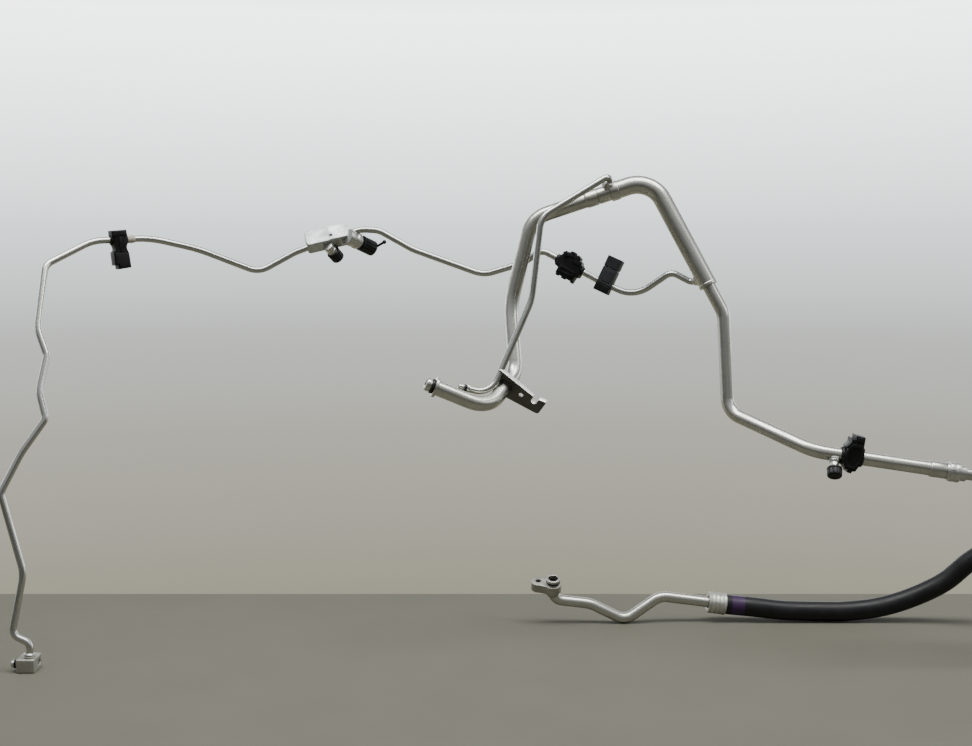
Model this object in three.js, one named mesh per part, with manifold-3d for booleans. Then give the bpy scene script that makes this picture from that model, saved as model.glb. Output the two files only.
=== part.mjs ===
// Air conditioning line of a vehicle: suction hose, suction pipes, coaxial heat exchanger and liquid line.
// Millimetres, +Z up. The line stands on its condenser fitting, the low bend and the hose.
import * as THREE from 'three';
import { mergeVertices } from 'three/addons/utils/BufferGeometryUtils.js';
import Module from 'manifold-3d';

// Clearance between pieces that touch on the real line
const GAP = 0.3;

// Tubes and hose
const LIQUID_TUBE = { outer: 8, wall: 1 };
const EVAPORATOR_PIPE = { outer: 18, wall: 1.5 };
const RETURN_PIPE = { outer: 16, wall: 1.5 };
const JACKET = { outer: 22 };
const STEM_TUBE = { outer: 13.4, wall: 1.3 };
const HOSE = { outer: 24.6, bore: 17, straight: 10 };

// Facets of the round sections, and the most that one step of a bend may turn
const THIN_SIDES = 8;
const THICK_SIDES = 12;
const TURNED_SIDES = 14;
const BORE_SIDES = 8;
const BEND_STEP = THREE.MathUtils.degToRad(30);
const HOSE_STEP = 27;

// Bend tables: corner x, y, z and the centreline radius of the bend there
const LIQUID_LEFT_ROUTE = [
  [-513, -200, 8], [-512, -200, 33, 11], [-532, -200, 42, 11], [-520, -190, 111, 40],
  [-546, -180, 200, 13], [-526.2, -165, 243, 90], [-502, -150, 280, 13], [-512, -140, 311, 40], [-508, -120, 350, 14],
  [-521, -110, 380, 40], [-522, -70, 453, 18], [-477, -30, 481, 60], [-417, 10, 484, 88],
  [-361, 28, 470, 150], [-291, 60, 440, 30], [-246, 70, 465, 40], [-225, 71, 473],
];
const LIQUID_MIDDLE_ROUTE = [
  [-181, 73, 488], [-159.5, 72.5, 494.7, 30], [-137.3, 68, 493.5, 30], [-94, 62, 469.4, 60], [-3, 50, 437, 40], [48, 35, 453, 24],
  [70, 25, 469, 14], [141, 0, 431, 60], [182, -15, 412, 40], [225, -30, 443.5, 14],
  [248, -38, 431.5, 9], [255, -45.3, 433.5],
];
const LIQUID_BRANCH_ROUTE = [
  [147.4, -26.9, 548.2], [153.9, -35.7, 562.8, 7], [66, -52, 509.5, 26], [54.5, -62, 411, 60],
  [5.5, -88, 300.3, 24], [-22, -92, 308],
];
const EVAPORATOR_PIPE_ROUTE = [
  [-59.8, -119.4, 313], [2.7, -108, 286, 34], [35.6, -51.3, 322.5, 30], [29.7, -20, 402, 90],
];
const RETURN_PIPE_ROUTE = [
  [284, -62, 395, 32], [288, -80, 279, 26], [373, -158, 244, 45], [505, -165, 225],
];
const COMPRESSOR_TUBE_ROUTE = [
  [84, -16.4, 49.9], [84, -7.733, 30.4, 14], [131, -8, 25.2, 40], [176, -8, 3.5, 20], [220, -4, 33.6, 25],
  [282, 0, 24.7],
];
// Corners of the suction line before and after the heat exchanger's straight inlet
const INLET_BEND = [56, -14.5, 508, 36];
const EXCHANGER_BEND = [200, -25, 556, 35];
// The hose touches the floor between its two ferrules, then loops up beside the return pipe
const HOSE_ROUTE = [
  [338, 0, 18.4], [378, 0, 14], [419, 0, 12.8], [460, 0, 13.2], [501, 0, 18.6],
  [540, -3, 32], [577, -11, 54], [603, -20, 81], [628, -32, 103], [651, -48, 120],
  [668, -70, 137], [675, -96, 155], [670, -122, 174], [654, -144, 191], [631, -159, 204],
];

// Places along the suction line, measured from the corner before them
const FLARE = { mouth: 84, length: 16, depth: 10, wall: 1.8, taper: 3 };
const EXCHANGER_INLET = { neck: 15, collar: 11, neckOuter: 20, collarOuter: 23.6, wall: 1.1, endWall: 4 };
const EXCHANGER_OUTLET = { end: 148, neck: 11, bead: 5, neckOuter: 20.4, beadOuter: 23, endWall: 4 };
const EXCHANGER_PORT = { outer: 11.5, depth: 3.5, bore: 5 };
const SLEEVE = { from: 131, length: 18, wall: 2.2, depth: 14 };
const JOINT_COLLAR = {
  shoulder: 3, shoulderOuter: 19, ring: 12.5, ringOuter: 22.6, tail: 7, tailOuter: 18,
};
const FERRULE = { length: 22, wall: 1, grip: 20, lip: 2, groove: 0.8, fromCollar: 18 };
const BARB = { count: 3, pitch: 5, height: 0.4 };
const COMPRESSOR_FERRULE_FROM = 62;

// Fittings
const PORT_SPIGOT = {
  neck: 1.6, seat: 3, lip: 3, chamfer: 0.7, lipOuter: 17, grooveOuter: 13.2, bore: 11.8,
};
const COMPRESSOR_BLOCK = { thickness: 12, boss: 21, ear: 17.8, web: 11, earAt: [-18.4, 5], hole: 7, socket: 8 };
const CONDENSER_BLOCK = {
  left: 13, right: 7, front: 8, back: 20, height: 16, corner: 3, port: 9, bolt: 12, hole: 6.8,
};
const CONDENSER_BOSS = { lower: 13, upper: 11.2, step: 2.1 };
const VALVE_BLOCK = {
  left: 28, right: 32, above: 16.8, below: 5.8, thickness: 15, cut: 4, bevel: 1, tilt: 38, socket: 11,
};
const BRACKET = {
  at: 46, along: [0.81, -0.093, -0.585], thickness: 6, lobe: 14, hole: 5.4, holeAt: [21.3, 6.8],
  slot: 7, slotAt: [38, 10.5], heel: [-17, 20], toe: [51, -4], toeRound: 5, hook: 21, slotLips: [16.8, 18.5],
};

// Service ports: seat, direction of the port, and the black screw caps over them
const LARGE_PORT = { seat: [-176, 67, 485], axis: [0.72, 0.58, -0.38], boss: 21, out: 15, stem: 13 };
const SMALL_PORT = { seat: [-201, 66, 470], axis: [0.45, 0.65, -0.6], boss: 13, out: 10, stem: 10 };
const SUCTION_PORT = { at: 23.6, axis: [0, -0.635, -0.773], boss: 9, out: 18, stem: 10 };
const LARGE_CAP = {
  outer: 20.4, length: 22, clear: 4, strapTo: [-131.6, 84, 478.6], strap: 3.6, knob: 5.4,
};
const SMALL_CAP = { outer: 17.6, length: 14, clear: 1.5 };
const SUCTION_CAP = { outer: 17.2, length: 11, clear: 0.5 };
const CAP_WALL = 1.8;
const PORT_BORE = 4;

// Moulded clips: place on the tube, depth, and the outline in x along the tube and z up the clip
const CLIP_SLIT = 1.4;
const LEFT_CLIP = {
  depth: 15,
  stud: { bore: 6.4, depth: 15, at: 2.5 },
  outline: [
    [-9.5, 11.5], [-9.5, 4.5], [-7, 2], [-9, -4], [-6.8, -9.5], [-6.8, -12.5], [-9.6, -15], [-9.4, -31],
    [-5.6, -31], [-5, -36], [10.5, -35], [9.6, -17], [7.6, -12], [7.6, -8.5], [9.4, -5], [8, 2.5], [9.6, 4.5],
    [9, 11.5],
  ],
};
const MIDDLE_CLIP = {
  depth: 17,
  dome: { radius: 15.6, from: 12, to: 158 },
  outline: [
    [-16.2, -3], [-16.2, -7.8], [-10.6, -9], [-10.6, -15.8], [-7.6, -17], [-6.8, -14.2], [-4.8, -17.2],
    [9.2, -17.4], [10.2, -13.8], [11.2, -16.6], [13.8, -16.6], [14.4, -10.4], [18.2, -8.4], [18.4, -4.6],
  ],
};
const BLOCK_CLIP = { depth: 16, width: 19, above: 34, below: 11.5, grooves: [20, -1.6], groove: 0.9 };
const RIGHT_CLIP = {
  depth: 24,
  outline: [
    [-0.5, 26], [-0.5, 21.5], [-5, 22], [-5, 17], [-9.6, 11.8], [-7.8, 9.8], [-11.6, -4], [-7, -14], [-4.6, -13.4],
    [-4.4, -17], [0.4, -17.6], [1, -15.4], [4.8, -14.6], [9.4, -5], [11.5, 1.2], [11.5, 11.6], [10, 13.5],
    [10, 25],
  ],
};
const TAPE = { length: 9.5, thickness: 0.5 };

const wasm = await Module();
wasm.setup();

const assembly = new THREE.Group();

// Vector and place helpers
const vector = (place) => new THREE.Vector3(...place);

function between(start, end, distance) {
  const direction = vector(end.slice(0, 3)).sub(vector(start.slice(0, 3))).normalize();
  return vector(start.slice(0, 3)).addScaledVector(direction, distance).toArray();
}

// Local frame with z along one direction and x as near as it can be to another
function frameAt(origin, zAxis, xHint) {
  const z = zAxis.clone().normalize();
  const x = xHint.clone().addScaledVector(z, -xHint.dot(z)).normalize();
  const y = z.clone().cross(x);
  return new THREE.Matrix4().makeBasis(x, y, z).setPosition(origin);
}

// Centreline made of straights and round bends, sampled where the bends start, step and end
class BentRoute extends THREE.Curve {
  constructor(corners) {
    super();
    this.places = corners.map((corner) => vector(corner.slice(0, 3)));
    this.legs = this.places.slice(1).map((place, i) => place.clone().sub(this.places[i]).normalize());
    this.stations = [[this.places[0], this.legs[0]]];
    for (let i = 1; i < corners.length - 1; i += 1) {
      this.addBend(this.places[i], this.legs[i - 1], this.legs[i], corners[i][3]);
    }
    this.stations.push([this.places.at(-1), this.legs.at(-1)]);
  }

  addBend(corner, inward, outward, radius) {
    const turn = inward.angleTo(outward);
    const start = corner.clone().addScaledVector(inward, -radius * Math.tan(turn / 2));
    const side = outward.clone().addScaledVector(inward, -outward.dot(inward)).normalize();
    const steps = Math.max(1, Math.ceil(turn / BEND_STEP));
    for (let i = 0; i <= steps; i += 1) {
      const angle = (turn * i) / steps;
      const place = start.clone()
        .addScaledVector(inward, radius * Math.sin(angle))
        .addScaledVector(side, radius * (1 - Math.cos(angle)));
      const heading = inward.clone().multiplyScalar(Math.cos(angle)).addScaledVector(side, Math.sin(angle));
      this.stations.push([place, heading]);
    }
  }

  station(u) {
    return this.stations[Math.round(u * (this.stations.length - 1))];
  }

  getPointAt(u, target = new THREE.Vector3()) {
    return target.copy(this.station(u)[0]);
  }

  getTangentAt(u, target = new THREE.Vector3()) {
    return target.copy(this.station(u)[1]);
  }

  get steps() {
    return this.stations.length - 1;
  }
}

// Solids: every shape goes through one closed solid, facing out
function signedVolume(positions, triangles) {
  const [a, b, c] = [0, 1, 2].map(() => new THREE.Vector3());
  let volume = 0;
  for (let i = 0; i < triangles.length; i += 3) {
    a.fromArray(positions, 3 * triangles[i]);
    b.fromArray(positions, 3 * triangles[i + 1]);
    c.fromArray(positions, 3 * triangles[i + 2]);
    volume += a.dot(b.cross(c)) / 6;
  }
  return volume;
}

function solid(geometry) {
  const bare = geometry.clone();
  bare.deleteAttribute('normal');
  bare.deleteAttribute('uv');
  const merged = mergeVertices(bare);
  const positions = merged.attributes.position.array;
  const triangles = [];
  for (let i = 0; i < merged.index.count; i += 3) {
    const [a, b, c] = [0, 1, 2].map((k) => merged.index.getX(i + k));
    if (a !== b && b !== c && c !== a) triangles.push(a, b, c);
  }
  if (signedVolume(positions, triangles) < 0) triangles.reverse();
  return new wasm.Manifold(new wasm.Mesh({
    numProp: 3,
    vertProperties: new Float32Array(positions),
    triVerts: new Uint32Array(triangles),
  }));
}

function surface(body) {
  const { vertProperties, triVerts } = body.getMesh();
  const geometry = new THREE.BufferGeometry();
  geometry.setAttribute('position', new THREE.BufferAttribute(new Float32Array(vertProperties), 3));
  geometry.setIndex(new THREE.BufferAttribute(new Uint32Array(triVerts), 1));
  geometry.computeVertexNormals();
  return geometry;
}

const joined = (...geometries) => geometries.map(solid).reduce((whole, piece) => whole.add(piece));
const less = (body, ...geometries) => geometries.map(solid).reduce((whole, cut) => whole.subtract(cut), body);

// A round bore's facets lie outside its circle, so that what fits it still fits
const boreRadius = (diameter, sides) => diameter / 2 / Math.cos(Math.PI / sides);

function circle(diameter) {
  return new THREE.Shape().absarc(0, 0, diameter / 2, 0, 2 * Math.PI);
}

function sweptRound(route, diameter, sides) {
  return new THREE.ExtrudeGeometry(circle(diameter), {
    steps: route.steps, curveSegments: sides / 2, bevelEnabled: false, extrudePath: route,
  });
}

function sweptTube(path, steps, outer, bore, sides) {
  const section = circle(outer);
  const hole = new THREE.Path().absarc(0, 0, boreRadius(bore, BORE_SIDES), 0, 2 * Math.PI);
  section.holes.push(new THREE.Path(hole.getPoints(BORE_SIDES / 2).slice(0, BORE_SIDES)));
  return new THREE.ExtrudeGeometry(section, {
    steps, curveSegments: sides / 2, bevelEnabled: false, extrudePath: path,
  });
}

// Turned shape about z from a profile of diameters and heights
function turned(profile, sides = TURNED_SIDES) {
  const points = profile.map(([diameter, height]) => new THREE.Vector2(diameter / 2, height));
  return new THREE.LatheGeometry(points, sides).rotateX(Math.PI / 2);
}

function turnedSolid(steps, sides = TURNED_SIDES) {
  return turned([[0, steps[0][1]], ...steps, [0, steps.at(-1)[1]]], sides);
}

// Ring: an outer profile round a straight bore, whose facets lie outside its circle
function turnedRing(steps, bore, sides = TURNED_SIDES) {
  const inner = 2 * boreRadius(bore, sides);
  const profile = [[inner, steps[0][1]], ...steps, [inner, steps.at(-1)[1]]];
  return turned([...profile, profile[0]], sides);
}

function rod(from, to, diameter, sides = TURNED_SIDES) {
  const axis = to.clone().sub(from);
  const steep = Math.abs(axis.x) > 0.9 * axis.length();
  const hint = steep ? new THREE.Vector3(0, 1, 0) : new THREE.Vector3(1, 0, 0);
  return turnedSolid([[diameter, 0], [diameter, axis.length()]], sides).applyMatrix4(frameAt(from, axis, hint));
}

const drill = (from, to, diameter, sides = TURNED_SIDES) => rod(from, to, 2 * boreRadius(diameter, sides), sides);

function box(low, high) {
  const size = vector(high).sub(vector(low));
  const middle = vector(low).add(vector(high)).multiplyScalar(0.5);
  return new THREE.BoxGeometry(...size.toArray()).translate(...middle.toArray());
}

function plate(outline, thickness, bevel = 0, curveSegments = 6) {
  return new THREE.ExtrudeGeometry(outline, {
    depth: thickness - 2 * bevel, curveSegments, bevelEnabled: bevel > 0, bevelThickness: bevel,
    bevelSize: bevel, bevelOffset: -bevel, bevelSegments: 1,
  }).translate(0, 0, bevel - thickness / 2);
}

const outlined = (points) => new THREE.Shape(points.map(([x, y]) => new THREE.Vector2(x, y)));

// Materials as the photograph shows them
const aluminium = () => new THREE.MeshStandardMaterial({ color: 0xc9cac6, roughness: 0.38, metalness: 0.9 });
const dullAluminium = () => new THREE.MeshStandardMaterial({ color: 0xa9aaa4, roughness: 0.5, metalness: 0.85 });
const darkPlate = () => new THREE.MeshStandardMaterial({ color: 0x54544f, roughness: 0.55, metalness: 0.8 });
const blackPlastic = () => new THREE.MeshStandardMaterial({ color: 0x111214, roughness: 0.6, metalness: 0 });
const greyPlastic = () => new THREE.MeshStandardMaterial({ color: 0x2c2d30, roughness: 0.7, metalness: 0 });
const hoseRubber = () => new THREE.MeshStandardMaterial({ color: 0x17171a, roughness: 0.55, metalness: 0 });
const sealRubber = () => new THREE.MeshStandardMaterial({ color: 0x0d0f0e, roughness: 0.5, metalness: 0 });
const beigeTape = () => new THREE.MeshStandardMaterial({ color: 0xb6b09f, roughness: 0.8, metalness: 0 });

function add(name, geometry, material, frame = new THREE.Matrix4()) {
  const mesh = new THREE.Mesh(geometry, material);
  mesh.name = name;
  mesh.applyMatrix4(frame);
  assembly.add(mesh);
  return mesh;
}

const boreOf = (tube) => tube.outer - 2 * tube.wall;
const wallMiddle = (tube) => tube.outer - tube.wall;
const socketFor = (tube) => tube.outer + 2 * GAP;

// Spigot profile with a groove for its sealing ring, from the face that it stands on
function spigotSteps(size, root) {
  const groove = size.neck;
  const lip = groove + size.seat;
  return [
    [size.lipOuter, root], [size.lipOuter, groove], [size.grooveOuter, groove], [size.grooveOuter, lip],
    [size.lipOuter, lip], [size.lipOuter, lip + size.lip],
    [size.lipOuter - 2 * size.chamfer, lip + size.lip + size.chamfer],
  ];
}

function sealRing(size, proud) {
  const low = size.neck + GAP;
  const high = size.neck + size.seat - GAP;
  const outer = size.lipOuter + proud;
  const steps = [[outer - 1, low], [outer, low + 0.7], [outer, high - 0.7], [outer - 1, high]];
  return turnedRing(steps, size.grooveOuter + 2 * GAP, THICK_SIDES);
}

// Suction side: evaporator pipe, heat exchanger, return pipe
const inletEnd = between(INLET_BEND, EXCHANGER_BEND, FLARE.mouth - FLARE.depth + GAP);
const evaporatorRoute = new BentRoute([...EVAPORATOR_PIPE_ROUTE, INLET_BEND, inletEnd]);
const returnStart = between(INLET_BEND, EXCHANGER_BEND, FLARE.mouth - FLARE.depth);
const returnRoute = new BentRoute([returnStart, EXCHANGER_BEND, ...RETURN_PIPE_ROUTE]);
const inletAxis = vector(EXCHANGER_BEND.slice(0, 3)).sub(vector(INLET_BEND.slice(0, 3))).normalize();
const outletAxis = returnRoute.legs[1];
const upright = new THREE.Vector3(0, 0, 1);
const rightward = new THREE.Vector3(1, 0, 0);
const onInlet = (distance) => vector(between(INLET_BEND, EXCHANGER_BEND, distance));
const inletFrame = (distance) => frameAt(onInlet(distance), inletAxis, upright);
const outletFrame = (distance) => frameAt(
  vector(EXCHANGER_BEND.slice(0, 3)).addScaledVector(outletAxis, distance), outletAxis, rightward,
);

const EVAPORATOR_SPIGOT = {
  neck: 4, seat: 4, lip: 5, chamfer: 1.2, lipOuter: 15.8, grooveOuter: 13.4, flange: 24, bore: 11.6,
};

function flangedSpigot(size) {
  const steps = [[size.flange, 0], [size.flange, size.neck], ...spigotSteps(size, size.neck).slice(2)];
  return turnedRing(steps, size.bore);
}

function makeEvaporatorPipe() {
  const start = evaporatorRoute.places[0];
  const outward = evaporatorRoute.legs[0].clone().negate();
  const spigotFrame = frameAt(start.clone().addScaledVector(outward, 1 - EVAPORATOR_SPIGOT.neck), outward, upright);
  const pipeBore = boreOf(EVAPORATOR_PIPE);
  const tube = sweptTube(evaporatorRoute, evaporatorRoute.steps, EVAPORATOR_PIPE.outer, pipeBore, THICK_SIDES);
  const flareOuter = socketFor(RETURN_PIPE) + 2 * FLARE.wall;
  const flare = turnedRing([
    [EVAPORATOR_PIPE.outer + 0.4, 0], [flareOuter, FLARE.taper], [flareOuter, FLARE.length],
  ], wallMiddle(EVAPORATOR_PIPE));
  const spigot = flangedSpigot(EVAPORATOR_SPIGOT).applyMatrix4(spigotFrame);
  const body = joined(tube, spigot, flare.applyMatrix4(inletFrame(FLARE.mouth - FLARE.length)));
  const socket = drill(onInlet(FLARE.mouth - FLARE.depth - GAP), onInlet(FLARE.mouth + 1), socketFor(RETURN_PIPE));
  add('suction_tube_upper', surface(less(body, socket)), aluminium());
  add('o_ring_evaporator_suction', surface(solid(sealRing(EVAPORATOR_SPIGOT, 2.2))), sealRubber(), spigotFrame);
}

// Jacket: outer tube, stepped ends and port bosses, less the annular space round the inner pipe
function makeExchanger() {
  const inletLength = EXCHANGER_INLET.neck + EXCHANGER_INLET.collar;
  const inletFrom = FLARE.mouth + GAP;
  const tubeFrom = between(INLET_BEND, EXCHANGER_BEND, inletFrom + inletLength - 2);
  const cavityFrom = between(INLET_BEND, EXCHANGER_BEND, inletFrom + EXCHANGER_INLET.endWall);
  const outletEnd = vector(EXCHANGER_BEND.slice(0, 3)).addScaledVector(outletAxis, EXCHANGER_OUTLET.end);
  const outletBack = (distance) => outletEnd.clone().addScaledVector(outletAxis, -distance).toArray();
  const outletLength = EXCHANGER_OUTLET.neck + EXCHANGER_OUTLET.bead;
  const outerRoute = new BentRoute([tubeFrom, EXCHANGER_BEND, outletBack(outletLength - 2)]);
  const cavityRoute = new BentRoute([cavityFrom, EXCHANGER_BEND, outletBack(EXCHANGER_OUTLET.endWall)]);
  const inletEndSteps = turnedSolid([
    [EXCHANGER_INLET.neckOuter, 0], [EXCHANGER_INLET.neckOuter, EXCHANGER_INLET.neck],
    [EXCHANGER_INLET.collarOuter, EXCHANGER_INLET.neck + 0.8], [EXCHANGER_INLET.collarOuter, inletLength],
  ]).applyMatrix4(inletFrame(inletFrom));
  const outletSteps = turnedSolid([
    [EXCHANGER_OUTLET.beadOuter, -outletLength],
    [EXCHANGER_OUTLET.beadOuter, -EXCHANGER_OUTLET.neck - 1.5],
    [EXCHANGER_OUTLET.neckOuter, -EXCHANGER_OUTLET.neck],
    [EXCHANGER_OUTLET.neckOuter, 0],
  ]).applyMatrix4(outletFrame(EXCHANGER_OUTLET.end));
  const shell = joined(sweptRound(outerRoute, JACKET.outer, THICK_SIDES), inletEndSteps, outletSteps);
  const ports = [
    [liquidBranch.places[0], liquidBranch.legs[0].clone().negate()],
    [liquidMiddle.places.at(-1), liquidMiddle.legs.at(-1)],
  ];
  const bosses = ports.map(([tip, inward]) => rod(
    tip.clone().addScaledVector(inward, -EXCHANGER_PORT.depth),
    tip.clone().addScaledVector(inward, JACKET.outer / 2), EXCHANGER_PORT.outer, THICK_SIDES,
  ));
  const sockets = ports.map(([tip, inward]) => drill(
    tip.clone().addScaledVector(inward, -EXCHANGER_PORT.depth - 1),
    tip.clone().addScaledVector(inward, GAP), socketFor(LIQUID_TUBE), THICK_SIDES,
  ));
  const holes = ports.map(([tip, inward]) => drill(
    tip, tip.clone().addScaledVector(inward, JACKET.outer / 2), EXCHANGER_PORT.bore, THIN_SIDES,
  ));
  const pipeBores = [
    drill(onInlet(inletFrom - 1), vector(cavityFrom).addScaledVector(inletAxis, 1), socketFor(RETURN_PIPE)),
    drill(vector(outletBack(EXCHANGER_OUTLET.endWall + 1)), outletEnd.clone().addScaledVector(outletAxis, 1),
      socketFor(RETURN_PIPE)),
  ];
  const cavity = sweptRound(cavityRoute, EXCHANGER_INLET.neckOuter - 2 * EXCHANGER_INLET.wall, THICK_SIDES);
  const whole = bosses.map(solid).reduce((body, boss) => body.add(boss), shell);
  add('heat_exchanger_jacket', surface(less(whole, cavity, ...pipeBores, ...sockets, ...holes)), aluminium());
}

// Return pipe with the widened sleeve that holds the stem, the joint collar and the stem itself
const lastCorner = RETURN_PIPE_ROUTE.at(-2);
const pipeEnd = RETURN_PIPE_ROUTE.at(-1);
const onLastLeg = (distance) => between(lastCorner, pipeEnd, distance);
const returnAxis = returnRoute.legs.at(-1);
const lastLegFrame = (distance) => frameAt(vector(onLastLeg(distance)), returnAxis, upright);
const collarFrom = SLEEVE.from + SLEEVE.length + GAP;
const collarLength = JOINT_COLLAR.shoulder + JOINT_COLLAR.ring + JOINT_COLLAR.tail;
const upperFerruleFrom = collarFrom + collarLength + FERRULE.fromCollar;

function makeReturnPipe() {
  const socketFrom = SLEEVE.from + SLEEVE.length - SLEEVE.depth - GAP;
  const route = new BentRoute([
    returnStart, EXCHANGER_BEND, ...RETURN_PIPE_ROUTE.slice(0, -1), onLastLeg(socketFrom + GAP),
  ]);
  const tube = sweptTube(route, route.steps, RETURN_PIPE.outer, boreOf(RETURN_PIPE), THICK_SIDES);
  const sleeveOuter = socketFor(STEM_TUBE) + 2 * SLEEVE.wall;
  const sleeve = turnedRing([
    [RETURN_PIPE.outer + 0.4, 0], [sleeveOuter, 0.8], [sleeveOuter, SLEEVE.length],
  ], wallMiddle(RETURN_PIPE)).applyMatrix4(lastLegFrame(SLEEVE.from));
  const socket = drill(
    vector(onLastLeg(socketFrom)),
    vector(onLastLeg(SLEEVE.from + SLEEVE.length + 1)), socketFor(STEM_TUBE),
  );
  add('suction_tube_lower', surface(less(joined(tube, sleeve), socket)), aluminium());
}

function barbs(frame, tube) {
  const outer = HOSE.bore - 2 * GAP;
  const steps = [[tube.outer + 0.4, -0.4]];
  for (let i = 0; i < BARB.count; i += 1) {
    steps.push([outer, i * BARB.pitch + 1], [outer - 2 * BARB.height, (i + 1) * BARB.pitch]);
  }
  return turnedRing(steps, wallMiddle(tube), THICK_SIDES).applyMatrix4(frame);
}

function makeHoseStem() {
  const start = onLastLeg(SLEEVE.from + SLEEVE.length - SLEEVE.depth);
  const end = onLastLeg(upperFerruleFrom + FERRULE.grip);
  const tube = sweptTube(new BentRoute([start, end]), 1, STEM_TUBE.outer, boreOf(STEM_TUBE), THICK_SIDES);
  const barbFrame = frameAt(vector(end), returnAxis.clone().negate(), upright);
  add('hose_stem_upper', surface(joined(tube, barbs(barbFrame, STEM_TUBE))), aluminium());
  const ring = JOINT_COLLAR.shoulder + JOINT_COLLAR.ring;
  const collar = turnedRing([
    [JOINT_COLLAR.shoulderOuter, 0], [JOINT_COLLAR.shoulderOuter, JOINT_COLLAR.shoulder],
    [JOINT_COLLAR.ringOuter, JOINT_COLLAR.shoulder + 0.8], [JOINT_COLLAR.ringOuter, ring - 0.8],
    [JOINT_COLLAR.tailOuter, ring], [JOINT_COLLAR.tailOuter, collarLength],
  ], socketFor(STEM_TUBE));
  add('joint_collar', surface(solid(collar)), dullAluminium(), lastLegFrame(collarFrom));
}

// Crimped shell over the hose end: a lip round the tube, then a grooved skirt round the hose
function makeFerrule(name, frame) {
  const outer = HOSE.outer + 2 * GAP + 2 * FERRULE.wall;
  const groove = outer - 2 * FERRULE.groove;
  const steps = [[outer - 2, 0], [outer, 1.2]];
  for (let i = 1; i <= BARB.count; i += 1) {
    const middle = (FERRULE.length * i) / (BARB.count + 1) + 1;
    steps.push([outer, middle - 1.8], [groove, middle], [outer, middle + 1.8]);
  }
  steps.push([outer, FERRULE.length]);
  const skirt = 2 * boreRadius(HOSE.outer + 2 * GAP, TURNED_SIDES);
  const neck = 2 * boreRadius(socketFor(STEM_TUBE), TURNED_SIDES);
  const profile = [...steps, [skirt, FERRULE.length], [skirt, FERRULE.lip], [neck, FERRULE.lip], [neck, 0]];
  add(name, surface(solid(turned([...profile, profile[0]]))), dullAluminium(), frame);
}

// Compressor side
const compressorLastLeg = COMPRESSOR_TUBE_ROUTE.slice(-2);
const onCompressorLeg = (distance) => between(...compressorLastLeg, distance);
const compressorRoute = new BentRoute([
  ...COMPRESSOR_TUBE_ROUTE.slice(0, -1), onCompressorLeg(COMPRESSOR_FERRULE_FROM + FERRULE.grip),
]);
const compressorAxis = compressorRoute.legs.at(-1);

function makeCompressorTube() {
  const tube = sweptTube(compressorRoute, compressorRoute.steps, STEM_TUBE.outer, boreOf(STEM_TUBE), THICK_SIDES);
  const barbFrame = frameAt(compressorRoute.places.at(-1), compressorAxis.clone().negate(), upright);
  add('compressor_tube', surface(joined(tube, barbs(barbFrame, STEM_TUBE))), aluminium());
}

function makeCompressorBlock() {
  const outward = compressorRoute.legs[0].clone().negate();
  const faceAbove = COMPRESSOR_BLOCK.thickness - COMPRESSOR_BLOCK.socket;
  const face = compressorRoute.places[0].clone().addScaledVector(outward, faceAbove);
  const frame = frameAt(face, outward, rightward);
  const below = -COMPRESSOR_BLOCK.thickness;
  const { boss: bossOuter, ear: earOuter, web: webWidth, hole: bolt } = COMPRESSOR_BLOCK;
  const [earX, earY] = COMPRESSOR_BLOCK.earAt;
  const port = new THREE.Vector3(0, 0, 20);
  const boss = turnedSolid([[bossOuter, below], [bossOuter, 0]], 20);
  const ear = turnedSolid([[earOuter, below], [earOuter, 0]], 20).translate(earX, earY, 0);
  const web = box([earX, -webWidth / 2, below], [0, webWidth / 2, 0])
    .applyMatrix4(new THREE.Matrix4().makeShear(earY / earX, 0, 0, 0, 0, 0).setPosition(0, 0, 0));
  const spigot = turnedSolid(spigotSteps(PORT_SPIGOT, -1));
  const body = less(
    joined(boss, ear, web, spigot),
    drill(new THREE.Vector3(0, 0, below - 1), new THREE.Vector3(0, 0, -faceAbove + GAP), socketFor(STEM_TUBE)),
    drill(new THREE.Vector3(0, 0, -faceAbove), port, PORT_SPIGOT.bore),
    drill(new THREE.Vector3(earX, earY, below - 1), new THREE.Vector3(earX, earY, 1), bolt),
  );
  add('compressor_block', surface(body), dullAluminium(), frame);
  add('o_ring_compressor', surface(solid(sealRing(PORT_SPIGOT, 0.8))), sealRubber(), frame);
}

const lowerFerruleFrame = frameAt(vector(onCompressorLeg(COMPRESSOR_FERRULE_FROM)), compressorAxis, upright);

// Hose: straight inside both ferrules, one smooth curve between them
function makeHose() {
  const held = [FERRULE.lip + GAP, FERRULE.length, FERRULE.length + HOSE.straight];
  const points = [
    ...held.map((distance) => onCompressorLeg(COMPRESSOR_FERRULE_FROM + distance)),
    ...HOSE_ROUTE,
    ...held.toReversed().map((distance) => onLastLeg(upperFerruleFrom + distance)),
  ].map(vector);
  const curve = new THREE.CatmullRomCurve3(points, false, 'centripetal');
  const steps = Math.round(curve.getLength() / HOSE_STEP);
  const hose = sweptTube(curve, steps, HOSE.outer, HOSE.bore, THICK_SIDES);
  return add('suction_hose', surface(solid(hose)), hoseRubber());
}

// Liquid line
const liquidLeft = new BentRoute(LIQUID_LEFT_ROUTE);
const liquidMiddle = new BentRoute(LIQUID_MIDDLE_ROUTE);
const liquidBranch = new BentRoute(LIQUID_BRANCH_ROUTE);
const BRANCH_SPIGOT = {
  neck: 3, seat: 3.4, lip: 5.4, chamfer: 1.4, lipOuter: 7.4, grooveOuter: 5.8, flange: 12, bore: 4,
};

const liquidTube = (route) => (
  sweptTube(route, route.steps, LIQUID_TUBE.outer, boreOf(LIQUID_TUBE), THIN_SIDES)
);

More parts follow.
